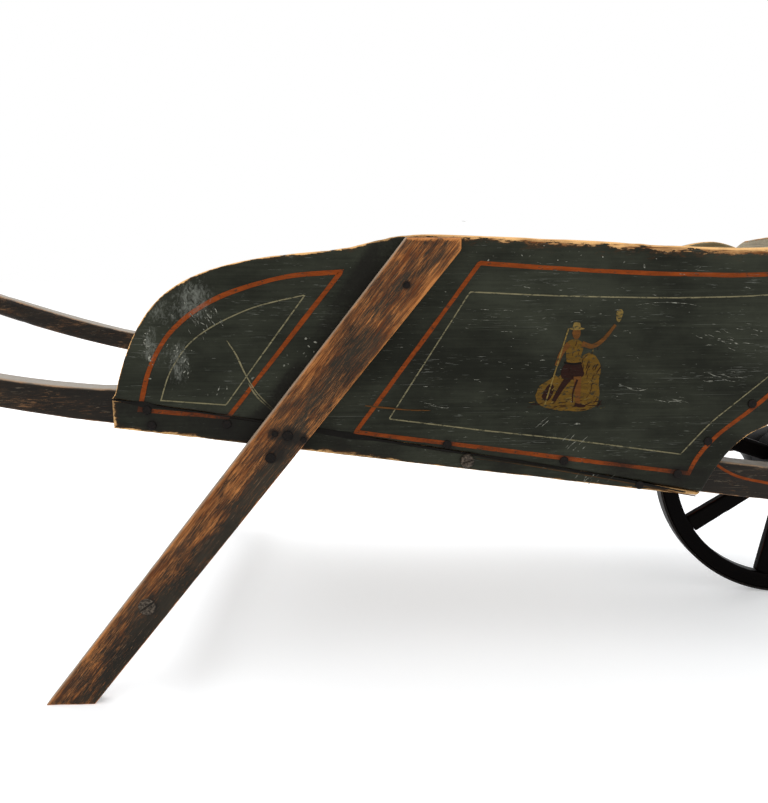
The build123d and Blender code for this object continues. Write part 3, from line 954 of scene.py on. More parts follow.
class Graph:
    """The node tree of a new material."""

    def __init__(self, name: str) -> None:
        """Start an empty tree with its output and one shader.

        Args:
            name: name of the material.
        """
        self.material = bpy.data.materials.new(name)
        self.material.use_nodes = True
        self.tree = self.material.node_tree
        self.tree.nodes.clear()
        self.shader = self.tree.nodes.new("ShaderNodeBsdfPrincipled")
        output = self.tree.nodes.new("ShaderNodeOutputMaterial")
        self.tree.links.new(self.shader.outputs[0], output.inputs[0])

    def node(self, kind: str, settings: dict[str, object], inputs: dict[str, Input]) -> bpy.types.Node:
        """Add a node.

        Args:
            kind: type of the node.
            settings: properties, set before the inputs.
            inputs: values or links by the socket's name or index.

        Returns:
            The new node.
        """
        node = self.tree.nodes.new(kind)
        for key, value in settings.items():
            setattr(node, key, value)
        for key, value in inputs.items():
            feed(self.tree, node.inputs[key], value)
        return node

    def layer(self, name: str) -> Num:
        """A float stored on the vertices."""
        stored = self.node("ShaderNodeAttribute", {"attribute_name": name}, {})
        return Num(self.tree, stored.outputs["Fac"])

    def place(self, layer: Optional[str] = "grain_mm") -> bpy.types.NodeSocket:
        """Coordinates for a pattern.

        Args:
            layer: the vertex layer that holds them in millimetres, or None for the object's own.

        Returns:
            The vector socket.
        """
        if layer is None:
            return self.node("ShaderNodeTexCoord", {}, {}).outputs["Object"]
        return self.node("ShaderNodeAttribute", {"attribute_name": layer}, {}).outputs["Vector"]

    def scaled(self, place: bpy.types.NodeSocket, scale: tuple[float, float, float],
               shift: tuple[float, float, float] = (0.0, 0.0, 0.0)) -> bpy.types.NodeSocket:
        """Coordinates stretched and moved: place times scale plus shift."""
        return self.node("ShaderNodeVectorMath", {"operation": "MULTIPLY_ADD"},
                         {0: place, 1: scale, 2: shift}).outputs[0]

    def noise(self, place: bpy.types.NodeSocket, detail: float = 4.0, roughness: float = 0.6,
              distortion: float = 0.0) -> Num:
        """Fractal noise with one cell to a unit.

        Args:
            place: coordinates.
            detail: number of octaves.
            roughness: height of each octave against the last.
            distortion: how far the cells are bent.

        Returns:
            The noise, from 0 to 1.
        """
        node = self.node("ShaderNodeTexNoise", {}, {"Vector": place, "Scale": 1.0, "Detail": detail,
                                                    "Roughness": roughness, "Distortion": distortion})
        return Num(self.tree, node.outputs["Fac"])

    def mix(self, factor: Input, first: Input, second: Input) -> bpy.types.NodeSocket:
        """Mix two colours.

        Args:
            factor: 0 for the first colour, 1 for the second.
            first: the first colour.
            second: the second colour.

        Returns:
            The colour socket.
        """
        node = self.node("ShaderNodeMix", {"data_type": "RGBA"}, {})
        for index, value in ((0, factor), (6, first), (7, second)):
            feed(self.tree, node.inputs[index], value)
        return node.outputs[2]

    def finish(self, colour: Input, roughness: Input, height: Optional[Num] = None, depth: float = 0.1,
               metallic: float = 0.0, specular: float = 0.5) -> bpy.types.Material:
        """Feed the shader.

        Args:
            colour: base colour.
            roughness: roughness of the surface.
            height: relief, from 0 to 1, or None for a smooth surface.
            depth: millimetres of relief for a height of 1.
            metallic: 1 for bare metal.
            specular: strength of the reflection.

        Returns:
            The finished material.
        """
        for key, value in (("Base Color", colour), ("Roughness", roughness), ("Metallic", metallic),
                           ("Specular IOR Level", specular)):
            feed(self.tree, self.shader.inputs[key], value)
        if height is not None:
            bump = self.node("ShaderNodeBump", {},
                             {"Height": height, "Distance": depth * MM, "Strength": 1.0})
            self.tree.links.new(bump.outputs[0], self.shader.inputs["Normal"])
        return self.material


@dataclass(frozen=True)
class PaintedWood:
    """Old paint over wood: worn off at the arrises, scratched, stained and streaked.

    The wear band is the distance to an arris against the wear width times a ragged noise. Streaks
    and hairs are long noises past a threshold that the layer "tired" lowers.
    """

    name: str
    paint: tuple[Colour, Colour]
    wood: tuple[Colour, Colour]
    scratch: Colour = srgb(122, 124, 116)
    weathered: tuple[Colour, Colour] = (srgb(84, 72, 46), srgb(158, 146, 118))
    scratches: float = 0.5
    streaks: float = 0.0
    hairs: float = 0.0
    rough: float = 0.5
    gloss: float = 0.14
    stripe: Optional[Colour] = None
    stripe_wear: float = 0.35

    def paint_coat(self, g: Graph, cloud: Num, brushed: Num, speck: Num) -> bpy.types.NodeSocket:
        """Old paint: two tones in clouds and brush marks, with darker specks.

        Args:
            g: the material's graph.
            cloud: slow noise.
            brushed: noise drawn out along the grain.
            speck: fine noise.

        Returns:
            The colour.
        """
        paint = g.mix((cloud * 0.85 + brushed * 0.3 - 0.07).ramp(0.32, 0.7), *self.paint)
        darker = tuple(c * DARKER for c in self.paint[0])
        return g.mix(speck.ramp(0.6, 0.74) * 0.4, paint, darker)

    def wood_coat(self, g: Graph, place: bpy.types.NodeSocket, edge: Num,
                  grain: Num) -> bpy.types.NodeSocket:
        """Bare wood: two tones by the grain, paler where an arris is freshly rubbed.

        Args:
            g: the material's graph.
            place: grain coordinates.
            edge: distance to an arris.
            grain: fine noise along the grain.

        Returns:
            The colour.
        """
        wide = g.noise(g.scaled(place, (0.05, 0.14, 0.14)), 4.0, 0.6)
        fresh = (1.0 - edge.ramp(0.3, 2.6)) * 0.25
        return g.mix((grain * 1.1 + wide * 0.7 - 0.5 + fresh).ramp(0.25, 0.72), *self.wood)

    def reach(self, g: Graph, place: bpy.types.NodeSocket) -> Num:
        """Ragged width of the band worn bare along the arrises.

        Args:
            g: the material's graph.
            place: grain coordinates.

        Returns:
            The width in millimetres.
        """
        ragged = g.noise(g.scaled(place, (0.07, 0.22, 0.22)), 7.0, 0.75)
        fine = g.noise(g.scaled(place, (0.16, 1.3, 1.3)), 4.0, 0.7)
        return g.layer("wear_mm") * ((ragged - 0.34) * 5.2 + (fine - 0.5) * 1.6) | 0.02

    def bare_share(self, g: Graph, place: bpy.types.NodeSocket, edge: Num, reach: Num) -> Num:
        """Where the paint is gone: along the arrises, in broad streaks and in fine hairs.

        Args:
            g: the material's graph.
            place: grain coordinates.
            edge: distance to an arris.
            reach: width of the worn band.

        Returns:
            From 0 for paint to 1 for bare wood.
        """
        tired = g.layer("tired")
        rubbed = (1.0 - edge.ramp(reach * 0.82, reach * 1.08 + 0.08)) * reach.ramp(0.05, 0.4)
        streak = g.noise(g.scaled(place, (0.13, 2.5, 2.5), (7.0, 3.0, 0.0)), 6.0, 0.7, 0.1)
        patch = g.noise(g.scaled(place, (0.03, 0.11, 0.11), (1.0, 9.0, 0.0)), 5.0, 0.65)
        worn = (streak * 0.8 + patch * 0.55 + tired * 0.18).ramp(0.828, 0.862) * self.streaks
        hair = g.noise(g.scaled(place, (0.12, 3.4, 3.4), (2.0, 5.0, 0.0)), 3.0, 0.6, 0.1)
        hairs = (hair * 0.8 + patch * 0.3 + tired * 0.2).ramp(0.67, 0.705) * self.hairs
        return rubbed | worn | hairs

    def stripe_coat(self, g: Graph, place: bpy.types.NodeSocket, paint: Input) -> bpy.types.NodeSocket:
        """A thin second colour over the paint, uneven and gone in places.

        Args:
            g: the material's graph.
            place: grain coordinates.
            paint: colour of the paint under it.

        Returns:
            The colour.
        """
        uneven = g.mix(g.noise(g.scaled(place, (0.09, 0.5, 0.5))).ramp(0.3, 0.75),
                       tuple(c * DARKER for c in self.stripe), self.stripe)
        gone = (g.noise(g.scaled(place, (0.22, 0.5, 0.5), (5.0, 0.0, 0.0)), 6.0, 0.75)
                + self.stripe_wear * 0.3).ramp(0.66, 0.74)
        return g.mix(gone * 0.85, uneven, paint)

    def marks(self, g: Graph, place: bpy.types.NodeSocket) -> Num:
        """Long faint scratches and short strong ones, thicker in some places than in others.

        Args:
            g: the material's graph.
            place: grain coordinates.

        Returns:
            Strength of the scratches, from 0 to 1.
        """
        line = g.noise(g.scaled(place, (0.014, 2.4, 0.4), (0.0, 0.0, 5.0)), 2.0, 0.5)
        where = g.noise(g.scaled(place, (0.02, 0.045, 0.0), (3.0, 8.0, 0.0)), 3.0, 0.6)
        short = g.noise(g.scaled(place, (0.11, 3.1, 0.4), (9.0, 4.0, 1.0)), 2.0, 0.5)
        return (line + where * 0.3).ramp(0.86, 0.92) * 0.5 | (short + where * 0.45).ramp(0.935, 0.97)

    def material(self) -> bpy.types.Material:
        """Build the finish, from the paint outwards to the pale upper-edge coat (dust with a painted
        highlight for the glancing sheen) and the dirt.

        Returns:
            The material.
        """
        g = Graph(self.name)
        place, edge = g.place(), g.layer("edge_mm")
        cloud = g.noise(g.scaled(place, (0.012, 0.02, 0.02), (2.7, 5.1, 0.0)), 5.0, 0.62)
        brushed = g.noise(g.scaled(place, (0.02, 0.55, 0.55)), 5.0, 0.65)
        speck = g.noise(g.scaled(place, (0.55, 0.6, 0.6)), 3.0, 0.7)
        grain = g.noise(g.scaled(place, (0.03, 1.1, 1.1)), 6.0, 0.7, 0.4)
        colour = self.paint_coat(g, cloud, brushed, speck)
        wood = self.wood_coat(g, place, edge, grain)
        reach = self.reach(g, place)
        bare = self.bare_share(g, place, edge, reach)
        if self.stripe:
            colour = self.stripe_coat(g, place, colour)
            bare = bare * 0.0
        marks = self.marks(g, place)
        dots = g.noise(g.scaled(place, (0.42, 0.5, 0.5), (2.0, 6.0, 0.0)), 1.0, 0.5).ramp(0.79, 0.82)
        colour = g.mix((marks | dots * 0.9) * self.scratches, colour, self.scratch)
        soft_edge = edge.ramp(reach * 0.9, reach * 1.9 + 0.6)
        colour = g.mix((1.0 - soft_edge) * 0.45, colour, tuple(c * 0.45 for c in self.wood[0]))
        wisp = g.noise(g.scaled(place, (0.34, 0.2, 0.3), (4.0, 2.0, 0.0)), 9.0, 0.78, 1.2)
        cloudy = (g.layer("scuff") * 0.34 + wisp).ramp(0.7, 0.98)
        colour = g.mix(cloudy * self.scratches, colour, self.scratch)
        weathered = g.mix((grain * 0.8 + cloud * 0.6 - 0.2).ramp(0.3, 0.75), *self.weathered)
        colour = g.mix(g.layer("inside"), colour, weathered)
        colour = g.mix(bare, colour, wood)
        # Painted highlight: upper edges turn pale grey, dust together with a painted stand-in for their
        # glancing sheen.
        dust_and_sheen = (g.layer("dust_and_sheen") * (0.45 + brushed)).ramp(0.2, 0.95)
        colour = g.mix(dust_and_sheen * 0.8, colour, DUST_AND_SHEEN)
        dirt = (g.layer("grime") * (0.55 + speck * 0.9)).ramp(0.25, 0.85)
        colour = g.mix(dirt * 0.85, colour, DIRT)
        rough = self.rough + speck * 0.16 - 0.08 + bare * 0.2
        height = grain * (bare * 0.8 + 0.15) + brushed * 0.3 - bare * 0.6 - marks * 0.3
        return g.finish(colour, rough, height, 0.22, specular=self.gloss)


@dataclass(frozen=True)
class BareWood:
    """Unpainted weathered boards: grey-brown with darker grain and stains."""

    name: str
    light: Colour
    dark: Colour

    def material(self) -> bpy.types.Material:
        """Build the finish.

        Returns:
            The material.
        """
        g = Graph(self.name)
        place = g.place()
        grain = g.noise(g.scaled(place, (0.02, 0.7, 0.7)), 7.0, 0.7, 0.5)
        stain = g.noise(g.scaled(place, (0.012, 0.03, 0.03)), 5.0, 0.6)
        edge = g.layer("edge_mm")
        colour = g.mix((grain * 0.8 + stain * 0.6 - 0.2).ramp(0.3, 0.75), self.dark, self.light)
        colour = g.mix((1.0 - edge.ramp(0.0, 4.0)) * 0.5, colour, tuple(c * 0.5 for c in self.dark))
        return g.finish(colour, 0.74 + stain * 0.15, grain, 0.35, specular=0.15)


@dataclass(frozen=True)
class Iron:
    """Dark rusted iron, or tarnished steel when it is more metallic."""

    name: str
    light: Colour
    dark: Colour
    metallic: float = 0.5
    rough: float = 0.55

    def material(self) -> bpy.types.Material:
        """Build the finish.

        Returns:
            The material.
        """
        g = Graph(self.name)
        place = g.place(None)
        spots = g.noise(g.scaled(place, (700.0, 700.0, 700.0)), 6.0, 0.7)
        pits = g.noise(g.scaled(place, (2600.0, 2600.0, 2600.0)), 3.0, 0.6)
        colour = g.mix(spots.ramp(0.38, 0.66), self.dark, self.light)
        return g.finish(colour, self.rough + pits * 0.2 - 0.1, pits, 0.08, self.metallic, 0.12)


class Palette:
    """All finishes of the barrow, made once."""

    BOARD = dict(paint=(srgb(19, 20, 14), srgb(43, 45, 36)), wood=(srgb(96, 58, 30), srgb(218, 172, 114)),
                 gloss=0.07)

    def __init__(self) -> None:
        """Build every material."""
        self.board = PaintedWood("board_paint", **self.BOARD).material()
        self.orange = self.line("orange_line", srgb(118, 52, 11), 0.25, 0.35)
        self.cream = self.line("cream_line", srgb(112, 106, 80), 0.2, 0.5)
        self.pale = self.line("pale_scratch", srgb(138, 138, 126), 0.2, 0.7)
        self.leg = PaintedWood("leg_paint", (srgb(24, 21, 16), srgb(48, 42, 33)),
                               (srgb(84, 44, 18), srgb(172, 112, 60)), scratch=srgb(150, 116, 84),
                               scratches=0.45, streaks=0.95, hairs=0.5, rough=0.42, gloss=0.1).material()
        self.shaft = PaintedWood("shaft_paint", (srgb(12, 9, 6), srgb(32, 26, 19)),
                                 (srgb(64, 38, 20), srgb(140, 104, 70)), scratch=srgb(120, 108, 90),
                                 scratches=0.75, streaks=0.75, hairs=0.15, rough=0.4, gloss=0.12).material()
        self.wheel = PaintedWood("wheel_paint", (srgb(2, 1, 1), srgb(5, 3, 2)),
                                 (srgb(14, 5, 3), srgb(54, 22, 11)), scratch=srgb(50, 40, 32),
                                 scratches=0.2, streaks=0.3, rough=0.4, gloss=0.03).material()
        self.dark = self.line("dark_gap", srgb(9, 7, 5), 0.0, 0.2)
        self.bare = BareWood("bare_wood", srgb(150, 128, 100), srgb(78, 62, 46)).material()
        self.iron = Iron("dark_iron", srgb(22, 15, 11), srgb(6, 5, 4), 0.2, 0.5).material()
        self.steel = Iron("screw_steel", srgb(88, 79, 69), srgb(30, 26, 22), 0.5, 0.4).material()
        self.tyre = Iron("tyre_iron", srgb(34, 28, 24), srgb(12, 10, 9), 0.4, 0.5).material()
        self.gold = self.line("motif_gold", srgb(88, 64, 17), 0.35, 0.45)
        self.ochre = self.line("motif_ochre", srgb(88, 54, 20), 0.2, 0.4)
        self.umber = self.line("motif_umber", srgb(34, 14, 7), 0.1, 0.3)
        self.straw = self.line("motif_straw", srgb(112, 92, 46), 0.1, 0.55)

    def line(self, name: str, colour: Colour, scratches: float, wear: float) -> bpy.types.Material:
        """A thin coat of one colour over the board's paint.

        Args:
            name: name of the finish.
            colour: colour of the coat.
            scratches: strength of the scratches over it.
            wear: how much of it is gone, from 0 to 1.

        Returns:
            The material.
        """
        return PaintedWood(name, stripe=colour, scratches=scratches, stripe_wear=wear,
                           **self.BOARD).material()


def coat(piece: bpy.types.Object, material: bpy.types.Material) -> None:
    """Give a piece or a frame node one material."""
    piece.data.materials.clear()
    piece.data.materials.append(material)


# ---------------------------------------------------------------- the barrow

def leg_line(z: np.ndarray) -> np.ndarray:
    """Side station, at a height, of the line from the leg's front foot to its rear top corner."""
    return LEG_LINE[0] + LEG_LINE[1] * z / LEG_TOP


def bumps(x: np.ndarray, y: np.ndarray, spots: Sequence[tuple[float, ...]]) -> np.ndarray:
    """Sum of round bumps: h exp(-((x - a)^2 + (y - b)^2) / c) over rows (a, b, c, h)."""
    return sum(h * np.exp(-((x - a) ** 2 + (y - b) ** 2) / c) for a, b, c, h in spots)


BOARD_NAILS = ((-149.3, 195.7), (-146.8, 184.7), (-99.7, 185.6), (40.8, 167.9), (117.6, 158.0),
               (193.7, 148.9), (212.5, 170.8), (240.8, 192.5), (53.9, 158.4))


def board_grime(along: np.ndarray, z: np.ndarray) -> np.ndarray:
    """Dirt on a side board: it fades with the distance from the leg, the split and the nails.

    Args:
        along: coordinate along the board.
        z: height.

    Returns:
        Strength of the dirt, from 0 to 1.
    """
    s = along + SIDE_SHIFT
    off_leg = (np.abs(s - leg_line(z)) - LEG_HALF) * math.cos(LEG_LEAN)
    off_split = z - (SPLIT_HEIGHT - FALL * s + 13.0)
    by_leg = np.exp(-np.maximum(0, off_leg) / 5.0)
    by_split = 0.75 * np.exp(-np.maximum(0, off_split) / 6.0)
    by_nails = bumps(s, z, [(a, b, 16.0, 0.9) for a, b in BOARD_NAILS])
    cloud = 0.65 + 0.5 * rough_noise(s, z, 26.0, 12)
    return np.clip((by_leg + by_split + by_nails) * cloud, 0, 1)


def board_scuffs(along: np.ndarray, z: np.ndarray) -> np.ndarray:
    """Cloudy rubbed places on a side board's rear panel and lower front.

    Each is an oval bump h exp(-((s - a) / c)^2 - ((z - b) / d)^2), from a row (a, b, c, d, h).

    Args:
        along: coordinate along the board.
        z: height.

    Returns:
        Strength of the rubbing, from 0 to 1.
    """
    s = along + SIDE_SHIFT
    places = ((-117, 263, 15, 15, 1.15), (-128, 224, 9, 17, 1.05), (-146, 234, 7, 14, 1.0),
              (-98, 212, 10, 10, 0.35), (160, 195, 35, 18, 0.35), (110, 172, 16, 9, 0.5),
              (190, 240, 50, 20, 0.3), (-140, 255, 10, 8, 0.7))
    ovals = [h * np.exp(-((s - a) / c) ** 2 - ((z - b) / d) ** 2) for a, b, c, d, h in places]
    return np.clip(sum(ovals), 0, 1)


@dataclass
class SideBoards:
    """The two shaped side boards and the strip split off the right one."""

    warp: float = 0.16
    strip_warp: float = 0.1
    arris: Table = ((0.0, 1.3), (0.35, 1.5), (0.5, 2.2), (1.0, 2.0))
    strip_arris: Table = ((0.0, 1.4), (0.9, 1.2), (1.0, 2.6))

    TOP_WEAR = ((0.0, 0.5), (0.07, 0.9), (0.16, 0.45), (0.24, 1.3), (0.34, 0.9), (0.4, 2.4), (0.5, 3.4),
                (0.7, 3.8), (0.9, 3.2), (1.0, 2.5))
    STRIP_LOWER = ((0.0, 1.0), (0.1, 1.6), (0.2, 1.2), (0.3, 0.9), (0.36, 2.6), (0.42, 2.2), (0.48, 0.7),
                   (0.85, 0.6), (0.93, 2.0), (1.0, 5.0))
    STRIP_UPPER = ((0.0, 0.5), (0.05, 0.05), (0.9, 0.05), (0.96, 0.6), (0.99, 4.0), (1.0, 6.0))

    def build(self) -> dict[str, Plank]:
        """Build the three boards.

        Returns:
            The planks by name: right, left and strip.
        """
        shared = dict(arris=self.arris, wear_ends=(1.6, 1.4), grime=board_grime, scuff=board_scuffs,
                      warp=self.warp)
        right = Plank("right_side_board", Axes.of_side(Side.RIGHT), Slot.BOARD, seed=3, bare_face=-1,
                      wear_upper=self.TOP_WEAR,
                      wear_lower=((0.0, 0.2), (0.7, 0.2), (0.78, 0.7), (1.0, 0.9)), **shared)
        left = Plank("left_side_board", Axes.of_side(Side.LEFT), Slot.BOARD, seed=8, bare_face=1,
                     wear_upper=((0.0, 1.6), (0.6, 2.0), (0.9, 0.7), (1.0, 0.7)),
                     wear_lower=((0.0, 0.8), (0.7, 0.8), (1.0, 1.0)), **shared)
        strip = Plank("right_split_strip", Axes.of_side(Side.RIGHT), Slot.BOARD, seed=5, bare_face=-1,
                      warp=self.strip_warp, step=2.0, arris=self.strip_arris, grime=board_grime,
                      wear_lower=self.STRIP_LOWER, wear_upper=self.STRIP_UPPER, wear_ends=(2.2, 7.0))
        boards = {"right": right, "left": left, "strip": strip}
        for plank in boards.values():
            plank.build()
        return boards

    def dress(self, boards: dict[str, Plank], palette: Palette) -> None:
        """Paint the boards."""
        for plank in boards.values():
            coat(plank.piece, palette.board)


@dataclass
class Undercarriage:
    """Legs, the rung between them, and the two cross bars."""

    leg_warp: float = 0.12
    # Pale coat on the legs' rear arris: dust with a painted highlight for its glancing sheen.
    leg_dust_and_sheen: float = 1.1
    leg_step: float = 1.6
    bar_step: float = 2.0

    def build(self) -> dict[str, bpy.types.Object]:
        """Build the legs and bars.

        Returns:
            The pieces by node name.
        """
        pieces = {}
        for side, seed in ((Side.RIGHT, 21), (Side.LEFT, 24)):
            name = f"{side.name.lower()}_leg"
            pieces[name] = Plank(name, Axes.upright(side), Slot.LEG, seed=seed, grain=LEG_LEAN,
                                 arris=((0.0, 1.4), (0.5, 1.3), (1.0, 1.6)), warp=self.leg_warp,
                                 wear_lower=((0.0, 0.5), (0.4, 0.4), (0.8, 0.5), (1.0, 0.7)),
                                 wear_upper=((0.0, 0.4), (0.5, 0.35), (1.0, 0.6)), wear_ends=(0.9, 2.2),
                                 tired=leg_tiredness, grime=leg_grime, dust_and_sheen_strength=self.leg_dust_and_sheen,
                                 step=self.leg_step).build()
        rung = Axes.lateral(math.pi / 2 + LEG_LEAN)
        pieces["leg_stretcher"] = Plank("leg_stretcher", rung, Slot.LEG, seed=31, step=self.bar_step,
                                        wear_ends=(0.5, 0.5)).build()
        bed = Axes.lateral(-math.atan(FALL))
        for name, seed in (("rear_bolster", 33), ("front_cross_bar", 35)):
            pieces[name] = Plank(name, bed, Slot.SHAFT, seed=seed, step=self.bar_step).build()
        return pieces

    def dress(self, pieces: dict[str, bpy.types.Object], palette: Palette) -> None:
        """Paint the legs and rung like the legs and the bars like the shafts."""
        for name, piece in pieces.items():
            coat(piece, palette.leg if name.startswith(("right", "left", "leg")) else palette.shaft)


def leg_tiredness(up: np.ndarray, rear: np.ndarray) -> np.ndarray:
    """How far the leg's paint is gone: more in the upper half, and at the rear edge below it.

    Args:
        up: height.
        rear: coordinate rearwards.

    Returns:
        From -0.6 for sound paint to 1 for bare wood.
    """
    height = np.clip((up - 30) / 170, 0, 1) * 1.6 - 0.6
    off_front = np.abs(rear + SIDE_SHIFT + leg_line(up)) / LEG_HALF
    return np.clip(0.2 + 0.5 * height + 0.5 * (off_front - 0.5), -0.6, 1)


def leg_grime(up: np.ndarray, rear: np.ndarray) -> np.ndarray:
    """Dirt round the leg's fasteners and at its foot.

    Args:
        up: height.
        rear: coordinate rearwards.

    Returns:
        Strength of the dirt, from 0 to 1.
    """
    spots = ((-59.8, 179.5, 46, 1.2), (-68.2, 168.0, 40, 1.2), (-70.0, 180.8, 12, 1.2),
             (-50.8, 176.8, 16, 1.2), (13.3, 272.4, 10, 1.2), (-151.3, 67.8, 44, 1.2))
    return np.clip(bumps(SIDE_SHIFT - rear, up, spots) + 0.4 * np.exp(-up / 6.0), 0, 1)


def handle_tiredness(along: np.ndarray, across: np.ndarray) -> np.ndarray:
    """How far a shaft's paint is gone: most where the hands hold it."""
    return 0.1 + 0.35 * np.clip((-150.0 - along) / 120.0, 0, 1) + 0 * across


@dataclass
class Shafts:
    """The two long shafts with their raised handles."""

    warp: float = 0.15
    # Pale coat on the shafts' top faces: dust with a painted highlight for their glancing sheen.
    dust_and_sheen: float = 0.85
    step: float = 2.6
    arris: Table = ((0.0, 6.0), (0.1, 5.5), (0.2, 2.4), (0.35, 1.5), (1.0, 1.4))

    def build(self) -> dict[str, Plank]:
        """Build both shafts.

        Returns:
            The planks by side.
        """
        planks = {}
        for side, seed in ((Side.RIGHT, 41), (Side.LEFT, 44)):
            plank = Plank(f"{side.name.lower()}_shaft", Axes.of_side(side), Slot.SHAFT, seed=seed,
                          step=self.step, arris=self.arris, warp=self.warp,
                          wear_lower=((0.0, 0.8), (0.15, 0.6), (1.0, 0.6)),
                          wear_upper=((0.0, 1.2), (0.12, 0.9), (0.3, 0.6), (1.0, 0.9)),
                          wear_ends=(1.8, 0.8), tired=handle_tiredness, dust_and_sheen_strength=self.dust_and_sheen)
            plank.build()
            planks[side.name.lower()] = plank
        return planks

    def dress(self, planks: dict[str, Plank], palette: Palette) -> None:
        """Paint the shafts."""
        for plank in planks.values():
            coat(plank.piece, palette.shaft)


@dataclass
class Bed:
    """Floor boards and the raked front board."""

    floor_boards: int = 4
    floor_warp: float = 0.1
    front_warp: float = 0.14
    step: float = 3.0

    def build(self) -> dict[str, bpy.types.Object]:
        """Build the floor and the front board.

        Returns:
            The pieces by node name.
        """
        pieces = {}
        fall = math.atan(FALL)
        flat = Axes((math.cos(fall), 0.0, -math.sin(fall)), (0.0, 1.0, 0.0))
        for number in range(1, self.floor_boards + 1):
            name = f"floor_board_{number}"
            pieces[name] = Plank(name, flat, Slot.BARE, seed=50 + number, arris=((0.0, 0.7), (1.0, 0.7)),
                                 step=self.step, warp=self.floor_warp).build()
        pieces["front_board"] = Plank("front_board", Axes.lateral(RAKE), Slot.BOARD, seed=60,
                                      step=self.step, warp=self.front_warp, bare_face=-1,
                                      wear_upper=((0.0, 3.0), (0.5, 4.5), (1.0, 3.0))).build()
        return pieces

    def dress(self, pieces: dict[str, bpy.types.Object], palette: Palette) -> None:
        """Leave the floor bare and paint the front board."""
        for name, piece in pieces.items():
            coat(piece, palette.board if name == "front_board" else palette.bare)


@dataclass
class Wheel:
    """The spoked wheel with its turned axletree."""

    radius: float = 117.0
    tyre: float = 2.0
    rim_depth: float = 13.0
    rim_half: float = 6.0
    tyre_half: float = 6.5
    joint: float = 98.0
    joint_gap: float = 0.05
    tyre_gap: float = 0.05
    spokes: tuple[float, ...] = (161.5, 213.3, 260.5, 312.7, 4.9, 57.1, 109.3)

    def build(self) -> dict[str, bpy.types.Object]:
        """Build the tyre, the two half rims, the spokes and the axletree.

        Returns:
            The pieces by node name.
        """
        outer, gap = self.radius - self.tyre, self.joint_gap
        pieces = {"iron_tyre": Ring("iron_tyre", Slot.IRON, outer + self.tyre_gap, self.radius,
                                    self.tyre_half, rounding=0.7, uneven=0.12, seed=71).build()}
        for name, start, seed in (("front_half_rim", self.joint - 180, 72),
                                  ("rear_half_rim", self.joint, 73)):
            pieces[name] = Ring(name, Slot.WHEEL, outer - self.rim_depth, outer, self.rim_half,
                                math.radians(start + gap), math.pi - math.radians(2 * gap), seed=seed,
                                wear=0.4).build()
        for number, angle in enumerate(self.spokes, 1):
            name = f"spoke_{number}"
            pieces[name] = Plank(name, Axes.of_wheel(math.radians(angle)), Slot.WHEEL, seed=80 + number,
                                 arris=((0.0, 2.2), (1.0, 2.2)), step=1.4, warp=0.12, body=Body.WHEEL,
                                 wear_lower=((0.0, 0.25), (1.0, 0.25)),
                                 wear_upper=((0.0, 0.25), (1.0, 0.25))).build()
        pieces["axletree"] = Turning("axletree", Slot.WHEEL, seed=90).build()
        return pieces

    def dress(self, pieces: dict[str, bpy.types.Object], palette: Palette) -> None:
        """Paint the wood black and leave the tyre iron."""
        for name, piece in pieces.items():
            coat(piece, palette.tyre if name == "iron_tyre" else palette.wheel)


@dataclass
class Ironwork:
    """Nails, spikes, screws, dowels, ferrules and gudgeons, kept from the frame."""

    kept: tuple[str, ...] = ("nails", "screws", "spikes", "dowels", "ferrule", "gudgeon")

    def dress(self, palette: Palette) -> None:
        """Give the screws steel and every other kept frame node dark iron."""
        for name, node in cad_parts.items():
            if name.endswith(self.kept):
                coat(node, palette.steel if name.endswith("screws") else palette.iron)
                LOG.info("%s: kept from the frame", name)


